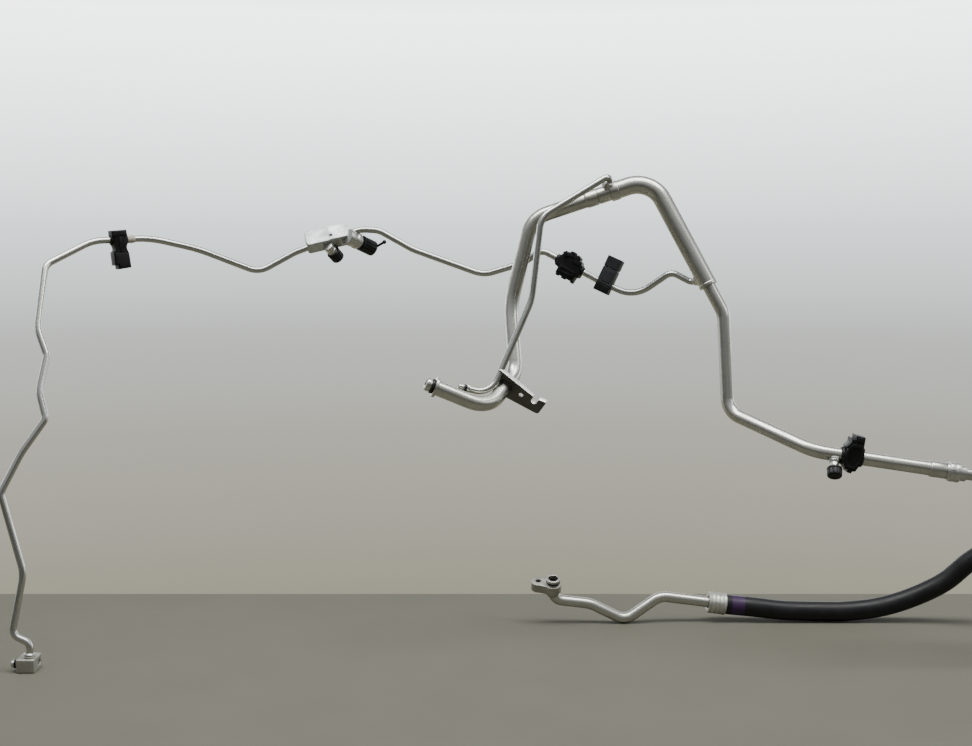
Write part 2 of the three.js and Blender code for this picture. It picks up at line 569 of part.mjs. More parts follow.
function makeBranch() {
  const outward = liquidBranch.legs.at(-1);
  const frame = frameAt(
    liquidBranch.places.at(-1).clone().addScaledVector(outward, 1 - BRANCH_SPIGOT.neck), outward, upright,
  );
  const spigot = flangedSpigot(BRANCH_SPIGOT).applyMatrix4(frame);
  add('liquid_tube_branch', surface(joined(liquidTube(liquidBranch), spigot)), aluminium());
  add('o_ring_evaporator_liquid', surface(solid(sealRing(BRANCH_SPIGOT, 1.6))), sealRubber(), frame);
}

function roundedRectangle(left, right, front, back, radius) {
  return new THREE.Shape()
    .moveTo(left + radius, front)
    .lineTo(right - radius, front).absarc(right - radius, front + radius, radius, -Math.PI / 2, 0)
    .lineTo(right, back - radius).absarc(right - radius, back - radius, radius, 0, Math.PI / 2)
    .lineTo(left + radius, back).absarc(left + radius, back - radius, radius, Math.PI / 2, Math.PI)
    .lineTo(left, front + radius).absarc(left + radius, front + radius, radius, Math.PI, 1.5 * Math.PI);
}

const CONDENSER_SPIGOT = {
  neck: 1.6, seat: 2.6, lip: 2.4, chamfer: 0.8, lipOuter: 8.6, grooveOuter: 6.8, bore: 4,
};

// Condenser fitting: block with the tube's socket on top and a spigot with its seal on the left face
function makeCondenserBlock() {
  const size = CONDENSER_BLOCK;
  const start = liquidLeft.places[0];
  const frame = frameAt(new THREE.Vector3(start.x, start.y, 0), upright, rightward);
  const outline = roundedRectangle(-size.left, size.right, -size.front, size.back, size.corner);
  const block = plate(outline, size.height, 0.8, 2).translate(0, 0, size.height / 2);
  const boss = turnedSolid([
    [CONDENSER_BOSS.lower, size.port], [CONDENSER_BOSS.lower, size.height + CONDENSER_BOSS.step],
    [CONDENSER_BOSS.upper, size.height + CONDENSER_BOSS.step],
    [CONDENSER_BOSS.upper, size.height + 2 * CONDENSER_BOSS.step],
  ]);
  const across = (x) => new THREE.Vector3(x, size.bolt, size.height / 2);
  const portAt = new THREE.Vector3(0, 0, size.port);
  const leftward = new THREE.Vector3(-1, 0, 0);
  const spigotFrame = frameAt(portAt.clone().addScaledVector(leftward, size.left), leftward, upright);
  const spigot = turnedSolid(spigotSteps(CONDENSER_SPIGOT, -1)).applyMatrix4(spigotFrame);
  const upTube = liquidLeft.legs[0];
  const tip = start.clone().applyMatrix4(frame.clone().invert());
  const body = less(
    joined(block, boss, spigot),
    drill(
      tip.clone().addScaledVector(upTube, -GAP), tip.clone().addScaledVector(upTube, 20), socketFor(LIQUID_TUBE),
    ),
    drill(portAt.clone().addScaledVector(leftward, size.left + 20), portAt, CONDENSER_SPIGOT.bore),
    drill(across(-size.left - 1), across(size.right + 1), size.hole),
  );
  add('condenser_block', surface(body), dullAluminium(), frame);
  const sealFrame = frame.clone().multiply(spigotFrame);
  add('o_ring_condenser', surface(solid(sealRing(CONDENSER_SPIGOT, 1.6))), sealRubber(), sealFrame);
}

// Valve block: bevelled slab between the two liquid tubes with two bosses for the service ports
function portPieces(port, cap, capName, portName) {
  const axis = vector(port.axis).normalize();
  const frame = frameAt(vector(port.seat).addScaledVector(axis, port.out + GAP), axis, upright);
  const stemOut = cap.clear + cap.length - 2 * CAP_WALL;
  const stem = turnedRing([
    [port.stem + 3, 0], [port.stem + 3, cap.clear - GAP], [port.stem, cap.clear - GAP], [port.stem, stemOut],
  ], PORT_BORE, THICK_SIDES);
  add(portName, surface(solid(stem)), aluminium(), frame);
  return { frame, cap: solid(capShape(cap, port.stem)), name: capName };
}

// Screw cap: cup with a ribbed grip, open towards the port
function capShape(cap, stem) {
  const bore = 2 * boreRadius(stem + 2 * GAP, THICK_SIDES);
  const mouth = cap.clear;
  const top = cap.clear + cap.length;
  return turned([
    [bore, mouth], [cap.outer, mouth], [cap.outer, top - 1.6], [cap.outer - 3, top], [0, top],
    [0, top - CAP_WALL], [bore, top - CAP_WALL], [bore, mouth],
  ], THICK_SIDES);
}

function makeValveBlock() {
  const size = VALVE_BLOCK;
  const left = liquidLeft.places.at(-1);
  const right = liquidMiddle.places[0];
  const along = right.clone().sub(left).normalize();
  const tilt = THREE.MathUtils.degToRad(size.tilt);
  const faceOut = new THREE.Vector3(0, -Math.cos(tilt), Math.sin(tilt));
  const frame = frameAt(left.clone().add(right).multiplyScalar(0.5), faceOut, along);
  const { left: reach, right: end, above, below, cut } = size;
  const outline = outlined([
    [-reach + cut, -below], [end - 1.6 * cut, -below], [end, 0], [end, above / 2], [end - 2 * cut, above],
    [-reach + cut, above], [-reach, above - cut], [-reach, cut - below],
  ]);
  const slab = plate(outline, size.thickness, size.bevel).applyMatrix4(frame);
  const bosses = [LARGE_PORT, SMALL_PORT].map((port) => {
    const axis = vector(port.axis).normalize();
    const seat = vector(port.seat);
    return rod(seat.clone().addScaledVector(axis, -2), seat.clone().addScaledVector(axis, port.out), port.boss);
  });
  const passage = (place, axis, length) => drill(
    place.clone().addScaledVector(axis, -GAP), place.clone().addScaledVector(axis, length), socketFor(LIQUID_TUBE),
  );
  const holes = [LARGE_PORT, SMALL_PORT].map((port) => {
    const axis = vector(port.axis).normalize();
    return drill(vector(port.seat), vector(port.seat).addScaledVector(axis, port.out + 1), PORT_BORE, THIN_SIDES);
  });
  const body = less(
    joined(slab, ...bosses),
    passage(left, liquidLeft.legs.at(-1).clone().negate(), size.socket),
    passage(right, liquidMiddle.legs[0], 2 * size.socket),
    drill(left, right, PORT_BORE, THIN_SIDES),
    ...holes,
  );
  add('valve_block', surface(body), dullAluminium());
  const large = portPieces(LARGE_PORT, LARGE_CAP, 'cap_large', 'service_port_large');
  const small = portPieces(SMALL_PORT, SMALL_CAP, 'cap_small', 'service_port_small');
  const inLarge = (place) => vector(place).applyMatrix4(large.frame.clone().invert());
  const capEdge = new THREE.Vector3(0, 0, LARGE_CAP.clear + LARGE_CAP.length - CAP_WALL / 2);
  const knob = inLarge(LARGE_CAP.strapTo);
  const strap = rod(capEdge, knob, LARGE_CAP.strap, THIN_SIDES);
  const knobBall = new THREE.SphereGeometry(LARGE_CAP.knob / 2, 8, 6).translate(...knob.toArray());
  add(large.name, surface(large.cap.add(solid(strap)).add(solid(knobBall))), blackPlastic(), large.frame);
  add(small.name, surface(small.cap), blackPlastic(), small.frame);
}

// Suction service port: a short stem seated on the return pipe, with its cap
function makeSuctionPort() {
  const axis = vector(SUCTION_PORT.axis);
  axis.addScaledVector(returnAxis, -axis.dot(returnAxis)).normalize();
  const centre = vector(onLastLeg(SUCTION_PORT.at));
  const frame = frameAt(centre, axis, returnAxis);
  const stemOut = SUCTION_PORT.out + SUCTION_CAP.length - 2 * CAP_WALL;
  const saddle = RETURN_PIPE.outer / 2 + 2;
  const stem = turnedSolid([
    [SUCTION_PORT.boss + 3, 0], [SUCTION_PORT.boss + 3, saddle], [SUCTION_PORT.boss, saddle + 1],
    [SUCTION_PORT.boss, SUCTION_PORT.out - 1.5], [SUCTION_PORT.stem + 1, SUCTION_PORT.out - 1.2],
    [SUCTION_PORT.stem + 1, SUCTION_PORT.out - 0.2], [SUCTION_PORT.stem, SUCTION_PORT.out + 0.2],
    [SUCTION_PORT.stem, stemOut],
  ], THICK_SIDES);
  const pipe = drill(new THREE.Vector3(-20, 0, 0), new THREE.Vector3(20, 0, 0), socketFor(RETURN_PIPE), TURNED_SIDES);
  const hole = drill(new THREE.Vector3(), new THREE.Vector3(0, 0, stemOut + 1), PORT_BORE, THIN_SIDES);
  const body = less(solid(stem), pipe, hole).decompose().sort((a, b) => b.volume() - a.volume())[0];
  add('suction_service_port', surface(body), aluminium(), frame);
  const cap = { ...SUCTION_CAP, clear: SUCTION_PORT.out + SUCTION_CAP.clear };
  add('cap_suction', surface(solid(capShape(cap, SUCTION_PORT.stem))), blackPlastic(), frame);
}

// Bracket plate brazed round the evaporator pipe, with a bolt hole, an open slot and a notch for the branch
function makeBracket() {
  const toward = evaporatorRoute.legs[1].clone().negate();
  const origin = evaporatorRoute.places[1].clone().addScaledVector(evaporatorRoute.legs[1], BRACKET.at);
  const frame = frameAt(origin, toward, vector(BRACKET.along));
  const [slotX, slotY] = BRACKET.slotAt;
  const half = BRACKET.slot / 2;
  const [toeX, toeY] = BRACKET.toe;
  const [lowLip, highLip] = BRACKET.slotLips;
  const outline = new THREE.Shape()
    .moveTo(...BRACKET.heel).lineTo(-BRACKET.lobe, 0)
    .absarc(0, 0, BRACKET.lobe, Math.PI, 1.68 * Math.PI)
    .absarc(toeX - BRACKET.toeRound, toeY + BRACKET.toeRound, BRACKET.toeRound, 1.5 * Math.PI, 2 * Math.PI)
    .lineTo(toeX, BRACKET.hook).lineTo(slotX + half, highLip)
    .lineTo(slotX + half, slotY).absarc(slotX, slotY, half, 0, Math.PI, true)
    .lineTo(slotX - half, lowLip);
  outline.holes.push(new THREE.Path().absarc(...BRACKET.holeAt, BRACKET.hole / 2, 0, 2 * Math.PI));
  outline.holes.push(new THREE.Path().absarc(0, 0, boreRadius(socketFor(EVAPORATOR_PIPE), 12), 0, 2 * Math.PI));
  const inverse = frame.clone().invert();
  const [branchTop, branchLow] = [3, 4].map((i) => liquidBranch.places[i].clone().applyMatrix4(inverse));
  const notch = drill(branchTop, branchLow, socketFor(LIQUID_TUBE), THICK_SIDES);
  add('evaporator_bracket', surface(less(solid(plate(outline, BRACKET.thickness)), notch)), darkPlate(), frame);
}

// Clips: outline in the tube's plane, a hole for the tube and a slit at the back where it snaps on
function clipFrame(route, leg, distance, lean) {
  const place = route.places[leg].clone().addScaledVector(route.legs[leg], distance);
  const along = route.legs[leg];
  const back = new THREE.Vector3(0, 1, 0).addScaledVector(along, -along.y).normalize();
  const frame = frameAt(place, back, along);
  return frame.multiply(new THREE.Matrix4().makeRotationZ(THREE.MathUtils.degToRad(lean)));
}

// Frame of a clip: x along the tube, y down the clip, z to the back, so outlines are turned over
function makeClip(name, outline, depth, tube, frame, material, extraCuts = []) {
  const flipped = new THREE.Matrix4().makeRotationX(Math.PI);
  const shape = plate(outline, depth).applyMatrix4(flipped);
  const reach = 40;
  const hole = drill(new THREE.Vector3(-reach, 0, 0), new THREE.Vector3(reach, 0, 0), socketFor(tube), THICK_SIDES);
  const slit = box([-reach, -CLIP_SLIT / 2, 0], [reach, CLIP_SLIT / 2, depth]);
  add(name, surface(less(solid(shape), hole, slit, ...extraCuts)), material, frame);
}

function makeClips() {
  const stud = LEFT_CLIP.stud;
  const lowest = -Math.min(...LEFT_CLIP.outline.map(([, z]) => z));
  const below = (distance) => new THREE.Vector3(stud.at, distance, 0);
  const studHole = drill(below(lowest + 1), below(lowest - stud.depth), stud.bore, THICK_SIDES);
  makeClip('clip_left', outlined(LEFT_CLIP.outline), LEFT_CLIP.depth, LIQUID_TUBE,
    clipFrame(liquidLeft, 11, 32, -2), blackPlastic(), [studHole]);

  const dome = MIDDLE_CLIP.dome;
  const middle = outlined(MIDDLE_CLIP.outline)
    .absarc(0, 0, dome.radius, THREE.MathUtils.degToRad(dome.from), THREE.MathUtils.degToRad(dome.to));
  makeClip('clip_middle', middle, MIDDLE_CLIP.depth, LIQUID_TUBE, clipFrame(liquidMiddle, 6, 41, 0), blackPlastic());

  const half = BLOCK_CLIP.width / 2;
  const block = roundedRectangle(-half, half, -BLOCK_CLIP.below, BLOCK_CLIP.above, 0.8);
  const edges = [[-half - 1, -half + BLOCK_CLIP.groove], [half - BLOCK_CLIP.groove, half + 1]];
  const grooves = BLOCK_CLIP.grooves.flatMap((z) => edges.map(
    ([from, to]) => box([from, -z - 0.5, -BLOCK_CLIP.depth], [to, -z + 0.5, BLOCK_CLIP.depth]),
  ));
  makeClip('clip_block', block, BLOCK_CLIP.depth, LIQUID_TUBE, clipFrame(liquidMiddle, 7, 7, 0), greyPlastic(), grooves);

  makeClip('clip_right', outlined(RIGHT_CLIP.outline), RIGHT_CLIP.depth, RETURN_PIPE,
    clipFrame(returnRoute, 4, 42.4, 0), blackPlastic());

  const tapeFrame = clipFrame(liquidLeft, 11, 42.5, 0).multiply(new THREE.Matrix4().makeRotationY(Math.PI / 2));
  const tapeOuter = socketFor(LIQUID_TUBE) + 2 * TAPE.thickness + 0.4;
  const band = turnedRing([[tapeOuter, 0], [tapeOuter, TAPE.length]], socketFor(LIQUID_TUBE), THICK_SIDES);
  add('tape_band', surface(solid(band)), beigeTape(), tapeFrame);
}

makeEvaporatorPipe();
makeExchanger();
makeReturnPipe();
makeHoseStem();
makeCompressorTube();
makeCompressorBlock();
makeFerrule('ferrule_lower', lowerFerruleFrame);
makeFerrule('ferrule_upper', lastLegFrame(upperFerruleFrom));
add('liquid_tube_left', surface(solid(liquidTube(liquidLeft))), aluminium());
add('liquid_tube_middle', surface(solid(liquidTube(liquidMiddle))), aluminium());
makeBranch();
makeCondenserBlock();
makeValveBlock();
makeSuctionPort();
makeBracket();
makeClips();
const hose = makeHose();

// The origin is under the middle of everything but the hose, which is a free cord
assembly.updateMatrixWorld(true);
const rigidBox = new THREE.Box3();
for (const mesh of assembly.children) {
  if (mesh !== hose) rigidBox.expandByObject(mesh, true);
}
const middle = rigidBox.getCenter(new THREE.Vector3());
assembly.position.set(-middle.x, -middle.y, -rigidBox.min.z);

export default assembly;
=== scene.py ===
# Vehicle air conditioning line: the finish and fine shape of every piece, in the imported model's frame
import math

import bmesh
import bpy
from mathutils import Matrix, Vector


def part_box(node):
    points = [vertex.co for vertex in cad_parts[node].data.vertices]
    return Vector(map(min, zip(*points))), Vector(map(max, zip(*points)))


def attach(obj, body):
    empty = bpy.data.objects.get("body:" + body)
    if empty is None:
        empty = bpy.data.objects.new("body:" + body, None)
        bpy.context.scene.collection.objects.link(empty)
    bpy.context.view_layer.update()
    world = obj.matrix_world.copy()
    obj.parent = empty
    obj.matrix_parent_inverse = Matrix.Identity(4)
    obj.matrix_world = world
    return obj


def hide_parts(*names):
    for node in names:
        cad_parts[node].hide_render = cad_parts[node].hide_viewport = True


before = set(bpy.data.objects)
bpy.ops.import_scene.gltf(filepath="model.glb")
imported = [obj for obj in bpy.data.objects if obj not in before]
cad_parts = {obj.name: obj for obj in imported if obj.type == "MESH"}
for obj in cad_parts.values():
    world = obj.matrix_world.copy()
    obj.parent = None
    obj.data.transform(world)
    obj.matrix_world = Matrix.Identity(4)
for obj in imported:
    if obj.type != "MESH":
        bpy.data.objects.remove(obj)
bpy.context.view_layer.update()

# The drawing is in millimetres. Its condenser block ends at x -506 and y -180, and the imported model's
# block gives the shift between the two
MM = 0.001
CONDENSER_EDGE = (-506, -180)
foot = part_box("condenser_block")
SHIFT = Vector((foot[1][0] / MM - CONDENSER_EDGE[0], foot[1][1] / MM - CONDENSER_EDGE[1], 0))
TO_ROW = Matrix.Diagonal((MM, MM, MM, 1)) @ Matrix.Translation(SHIFT)

X, Y, Z = Vector((1, 0, 0)), Vector((0, 1, 0)), Vector((0, 0, 1))
BEND_STEP = math.radians(7)

# Camera: 1.7 m in front of the line, at the height of the valve block, six degrees down
CAMERA_AT = (0, -1700, 495.5)
CAMERA_DOWN = math.radians(6)
CAMERA_LENS = 50.8

# Tubes, hose and what holds them, as in the CAD source
GAP = 0.3
LIQUID = {"outer": 8, "bore": 6}
EVAPORATOR = {"outer": 18, "bore": 15}
RETURN = {"outer": 16, "bore": 13}
JACKET = {"outer": 22, "bore": 19.4}
STEM = {"outer": 13.4, "bore": 10.8}
HOSE = {"outer": 24.6, "straight": 10, "band": (7, 25)}
FERRULE_LENGTH = 22

LIQUID_LEFT = [
    (-513, -200, 8), (-512, -200, 33, 11), (-532, -200, 42, 11), (-520, -190, 111, 40),
    (-546, -180, 200, 13), (-526.2, -165, 243, 90), (-502, -150, 280, 13), (-512, -140, 311, 40),
    (-508, -120, 350, 14),
    (-521, -110, 380, 40), (-522, -70, 453, 18), (-477, -30, 481, 60), (-417, 10, 484, 88),
    (-361, 28, 470, 150), (-291, 60, 440, 30), (-246, 70, 465, 40), (-225, 71, 473),
]
LIQUID_MIDDLE = [
    (-181, 73, 488), (-159.5, 72.5, 494.7, 30), (-137.3, 68, 493.5, 30), (-94, 62, 469.4, 60),
    (-3, 50, 437, 40), (48, 35, 453, 24),
    (70, 25, 469, 14), (141, 0, 431, 60), (182, -15, 412, 40), (225, -30, 443.5, 14),
    (248, -38, 431.5, 9), (255, -45.3, 433.5),
]
LIQUID_BRANCH = [
    (147.4, -26.9, 548.2), (153.9, -35.7, 562.8, 7), (66, -52, 509.5, 26), (54.5, -62, 411, 60),
    (5.5, -88, 300.3, 24), (-22, -92, 308),
]
EVAPORATOR_PIPE = [(-59.8, -119.4, 313), (2.7, -108, 286, 34), (35.6, -51.3, 322.5, 30), (29.7, -20, 402, 90)]
INLET_BEND = (56, -14.5, 508, 36)
EXCHANGER_BEND = (200, -25, 556, 35)
RETURN_PIPE = [(284, -62, 395, 32), (288, -80, 279, 26), (373, -158, 244, 45), (505, -165, 225)]
COMPRESSOR_TUBE = [
    (84, -16.4, 49.9), (84, -7.733, 30.4, 14), (131, -8, 25.2, 40), (176, -8, 3.5, 20), (220, -4, 33.6, 25),
    (282, 0, 24.7),
]
HOSE_ROUTE = [
    (338, 0, 18.4), (378, 0, 14), (419, 0, 12.8), (460, 0, 13.2), (501, 0, 18.6),
    (540, -3, 32), (577, -11, 54), (603, -20, 81), (628, -32, 103), (651, -48, 120),
    (668, -70, 137), (675, -96, 155), (670, -122, 174), (654, -144, 191), (631, -159, 204),
]
FLARE = {"mouth": 84, "length": 16, "depth": 10, "outer": 20.2, "taper": 3}
SLEEVE = {"from": 131, "length": 18, "outer": 18.4}
COLLAR_FROM = SLEEVE["from"] + SLEEVE["length"] + GAP
UPPER_FERRULE_FROM = COLLAR_FROM + 22.5 + 18
LOWER_FERRULE_FROM = 62


def place(point):
    return Vector(point[:3])


def between(start, end, distance):
    start, end = place(start), place(end)
    return start + (end - start).normalized() * distance


def frame_at(origin, z_axis, x_hint):
    """Local frame with z along one direction and x as near as it can be to another."""
    z = z_axis.normalized()
    x = (x_hint - z * x_hint.dot(z)).normalized()
    matrix = Matrix((x, z.cross(x), z)).transposed().to_4x4()
    matrix.translation = origin
    return matrix


def bent(corners):
    """Stations (place, heading) along straights and round bends."""
    places = [place(corner) for corner in corners]
    legs = [(b - a).normalized() for a, b in zip(places, places[1:])]
    stations = [(places[0], legs[0])]
    for i in range(1, len(corners) - 1):
        inward, outward, radius = legs[i - 1], legs[i], corners[i][3]
        turn = inward.angle(outward)
        start = places[i] - inward * radius * math.tan(turn / 2)
        side = (outward - inward * inward.dot(outward)).normalized()
        steps = max(3, math.ceil(turn / BEND_STEP))
        for step in range(steps + 1):
            angle = turn * step / steps
            at = start + inward * radius * math.sin(angle) + side * radius * (1 - math.cos(angle))
            stations.append((at, inward * math.cos(angle) + side * math.sin(angle)))
    stations.append((places[-1], legs[-1]))
    return stations


def smooth_curve(points, per_span=8):
    """Centripetal curve through the points, as the CAD source draws the hose."""
    points = [place(point) for point in points]
    ends = [2 * points[0] - points[1], *points, 2 * points[-1] - points[-2]]
    line = []
    for p0, p1, p2, p3 in zip(ends, ends[1:], ends[2:], ends[3:]):
        d0, d1, d2 = (math.sqrt((b - a).length) for a, b in ((p0, p1), (p1, p2), (p2, p3)))
        t1 = ((p1 - p0) / d0 - (p2 - p0) / (d0 + d1) + (p2 - p1) / d1) * d1
        t2 = ((p2 - p1) / d1 - (p3 - p1) / (d1 + d2) + (p3 - p2) / d2) * d1
        for step in range(per_span):
            t = step / per_span
            square = -3 * p1 + 3 * p2 - 2 * t1 - t2
            cube = 2 * p1 - 2 * p2 + t1 + t2
            line.append(p1 + t1 * t + square * t**2 + cube * t**3)
    return [*line, points[-1]]


def headed(line):
    headings = [(b - a).normalized() for a, b in zip(line, line[1:])]
    middles = [(a + b).normalized() for a, b in zip(headings, headings[1:])]
    return list(zip(line, [headings[0], *middles, headings[-1]]))


def soften(profile, radius, closed=False):
    """Rounds the corners of a turned profile of (diameter, height) with small arcs."""
    points = [Vector((d / 2, h)) for d, h in profile]
    count = len(points)
    out = []
    for i, point in enumerate(points):
        if not closed and i in (0, count - 1):
            out.append(point)
            continue
        before, after = points[i - 1], points[(i + 1) % count]
        a, b = before - point, after - point
        reach = min(radius, a.length * 0.45, b.length * 0.45)
        if reach < 0.02 or a.angle(b, math.pi) > math.radians(165):
            out.append(point)
            continue
        start, end = point + a.normalized() * reach, point + b.normalized() * reach
        out.extend([start, start.lerp(point, 0.5).lerp(point.lerp(end, 0.5), 0.5), end])
    return [(2 * p.x, p.y) for p in out]


class Piece:
    """Collects shapes in the drawing's millimetres and becomes one object that rides on the root body."""

    def __init__(self, name):
        self.name = name
        self.bm = bmesh.new()
        self.along = self.bm.loops.layers.uv.new("along")

    def sweep(self, stations, outer, bore=0, sides=32, slot=0, band=None, inner=0):
        """Tube along the stations, its bore in the slot inner.

        band = (first, last, slot) recolours a stretch.
        """
        side = stations[0][1].orthogonal().normalized()
        loops, lengths, length = [], [], 0
        for i, (at, heading) in enumerate(stations):
            side = (side - heading * side.dot(heading)).normalized()
            up = heading.cross(side)
            length += (at - stations[i - 1][0]).length if i else 0
            lengths.append(length)
            turns = [2 * math.pi * k / sides for k in range(sides)]
            rims = [outer / 2] + ([bore / 2] if bore else [])
            loops.append([
                [self.bm.verts.new(at + (side * math.cos(t) + up * math.sin(t)) * r) for t in turns]
                for r in rims
            ])
        for i, (here, there) in enumerate(zip(loops, loops[1:])):
            face_slot = band[2] if band and band[0] <= i < band[1] else slot
            for rim, (a, b) in enumerate(zip(here, there)):
                for k in range(sides):
                    n = (k + 1) % sides
                    corners = (a[k], a[n], b[n], b[k])
                    face = self.face(corners if rim == 0 else corners[::-1], inner if rim else face_slot)
                    if rim == 0:
                        for loop, (u, v) in zip(face.loops, ((k, i), (k + 1, i), (k + 1, i + 1), (k, i + 1))):
                            loop[self.along].uv = (u / sides * math.pi * outer * MM, lengths[v] * MM)
        for end, flip in ((loops[0], True), (loops[-1], False)):
            if bore:
                for k in range(sides):
                    n = (k + 1) % sides
                    corners = (end[0][k], end[0][n], end[1][n], end[1][k])
                    self.face(corners[::-1] if flip else corners, slot)
            else:
                self.face(end[0][::-1] if flip else end[0], slot)
        return self

    def face(self, corners, slot):
        face = self.bm.faces.new(corners)
        face.material_index = slot
        return face

    def turn(self, profile, at, round_by=0.4, sides=48, slot=0, closed=False, ribs=None):
        """Turned shape about z. ribs = (count, depth, low, high) cuts grip grooves between two heights."""
        points = soften(profile, round_by, closed) if round_by else profile
        rings = []
        for diameter, height in points:
            if diameter < 0.01:
                rings.append([self.bm.verts.new(at @ Vector((0, 0, height)))])
                continue
            ring = []
            for k in range(sides):
                t = 2 * math.pi * k / sides
                radius = diameter / 2
                if ribs and ribs[2] <= height <= ribs[3]:
                    radius -= ribs[1] * (0.5 - 0.5 * math.cos(ribs[0] * t)) ** 0.6
                point = Vector((radius * math.cos(t), radius * math.sin(t), height))
                ring.append(self.bm.verts.new(at @ point))
            rings.append(ring)
        pairs = list(zip(rings, rings[1:])) + ([(rings[-1], rings[0])] if closed else [])
        for a, b in pairs:
            for k in range(sides):
                n = (k + 1) % sides
                if len(a) == 1 and len(b) == 1:
                    continue
                if len(a) == 1:
                    self.face((a[0], b[n], b[k]), slot)
                elif len(b) == 1:
                    self.face((a[k], a[n], b[0]), slot)
                else:
                    self.face((a[k], a[n], b[n], b[k]), slot)
        return self

    def ring(self, outer, bore, at, **kinds):
        """Turned ring: an outer profile round a straight bore."""
        profile = [(bore, outer[0][1]), *outer, (bore, outer[-1][1])]
        return self.turn(profile, at, closed=True, **kinds)

    def plate(self, loops, thickness, at, bevel=0.5, slot=0):
        """Flat shape of an outline and its holes, with rounded edges, centred on the local plane."""
        curve = bpy.data.curves.new("outline", "CURVE")
        curve.dimensions = "2D"
        curve.fill_mode = "BOTH"
        curve.extrude = thickness / 2 - bevel
        curve.bevel_depth = bevel
        curve.bevel_resolution = 2
        curve.offset = -bevel
        for outline in loops:
            spline = curve.splines.new("POLY")
            spline.points.add(len(outline) - 1)
            for point, (x, y) in zip(spline.points, outline):
                point.co = (x, y, 0, 1)
            spline.use_cyclic_u = True
        holder = bpy.data.objects.new("outline", curve)
        mesh = holder.to_mesh()
        mesh.transform(at)
        first = len(self.bm.faces)
        self.bm.from_mesh(mesh)
        self.bm.faces.ensure_lookup_table()
        for face in self.bm.faces[first:]:
            face.material_index = slot
        holder.to_mesh_clear()
        bpy.data.objects.remove(holder)
        bpy.data.curves.remove(curve)
        return self

    def done(self, nodes, slot, *materials, sharp=35):
        bm = self.bm
        bmesh.ops.remove_doubles(bm, verts=bm.verts, dist=0.002)
        bmesh.ops.recalc_face_normals(bm, faces=bm.faces)
        for edge in bm.edges:
            edge.smooth = not (edge.is_manifold and edge.calc_face_angle(0) > math.radians(sharp))
        for face in bm.faces:
            face.smooth = True
        bmesh.ops.transform(bm, matrix=TO_ROW, verts=bm.verts)
        mesh = bpy.data.meshes.new(self.name)
        bm.to_mesh(mesh)
        bm.free()
        for material in materials:
            mesh.materials.append(material)
        piece = bpy.data.objects.new(self.name, mesh)
        bpy.context.scene.collection.objects.link(piece)
        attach(piece, "root")
        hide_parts(*nodes)
        return piece


# Materials
def new_material(name):
    material = bpy.data.materials.new(name)
    material.use_nodes = True
    nodes, links = material.node_tree.nodes, material.node_tree.links
    return material, nodes, links, nodes["Principled BSDF"]


def texture(nodes, links, kind, scale, stretch=(1, 1, 1), **settings):
    """Noise or Voronoi texture in the row frame, in metres, stretched along the axes."""
    coordinates = nodes.new("ShaderNodeTexCoord")
    mapping = nodes.new("ShaderNodeMapping")
    mapping.inputs["Scale"].default_value = stretch
    links.new(coordinates.outputs[settings.pop("space", "Object")], mapping.inputs["Vector"])
    node = nodes.new(kind)
    node.inputs["Scale"].default_value = scale
    for key, value in settings.items():
        node.inputs[key].default_value = value
    links.new(mapping.outputs["Vector"], node.inputs["Vector"])
    return node.outputs["Fac"] if kind == "ShaderNodeTexNoise" else node.outputs["Distance"]


def ramp(nodes, links, value, *stops):
    node = nodes.new("ShaderNodeValToRGB")
    elements = node.color_ramp.elements
    while len(elements) < len(stops):
        elements.new(0.5)
    for element, (at, color) in zip(elements, stops):
        element.position = at
        element.color = (*color, 1) if len(color) == 3 else color
    links.new(value, node.inputs["Fac"])
    return node.outputs["Color"]


def mixed(nodes, links, factor, a, b, blend="MIX"):
    node = nodes.new("ShaderNodeMix")
    node.data_type = "RGBA"
    node.blend_type = blend
    for value, socket in ((factor, node.inputs["Factor"]), (a, node.inputs["A"]), (b, node.inputs["B"])):
        if isinstance(value, (int, float)):
            socket.default_value = value
        elif isinstance(value, tuple):
            socket.default_value = (*value, 1)
        else:
            links.new(value, socket)
    return [o for o in node.outputs if o.type == "RGBA"][0]


def grey(value):
    return (value, value, value)


def bumped(nodes, links, shader, height, strength, distance):
    node = nodes.new("ShaderNodeBump")
    node.inputs["Strength"].default_value = strength
    node.inputs["Distance"].default_value = distance
    links.new(height, node.inputs["Height"])
    links.new(node.outputs["Normal"], shader.inputs["Normal"])


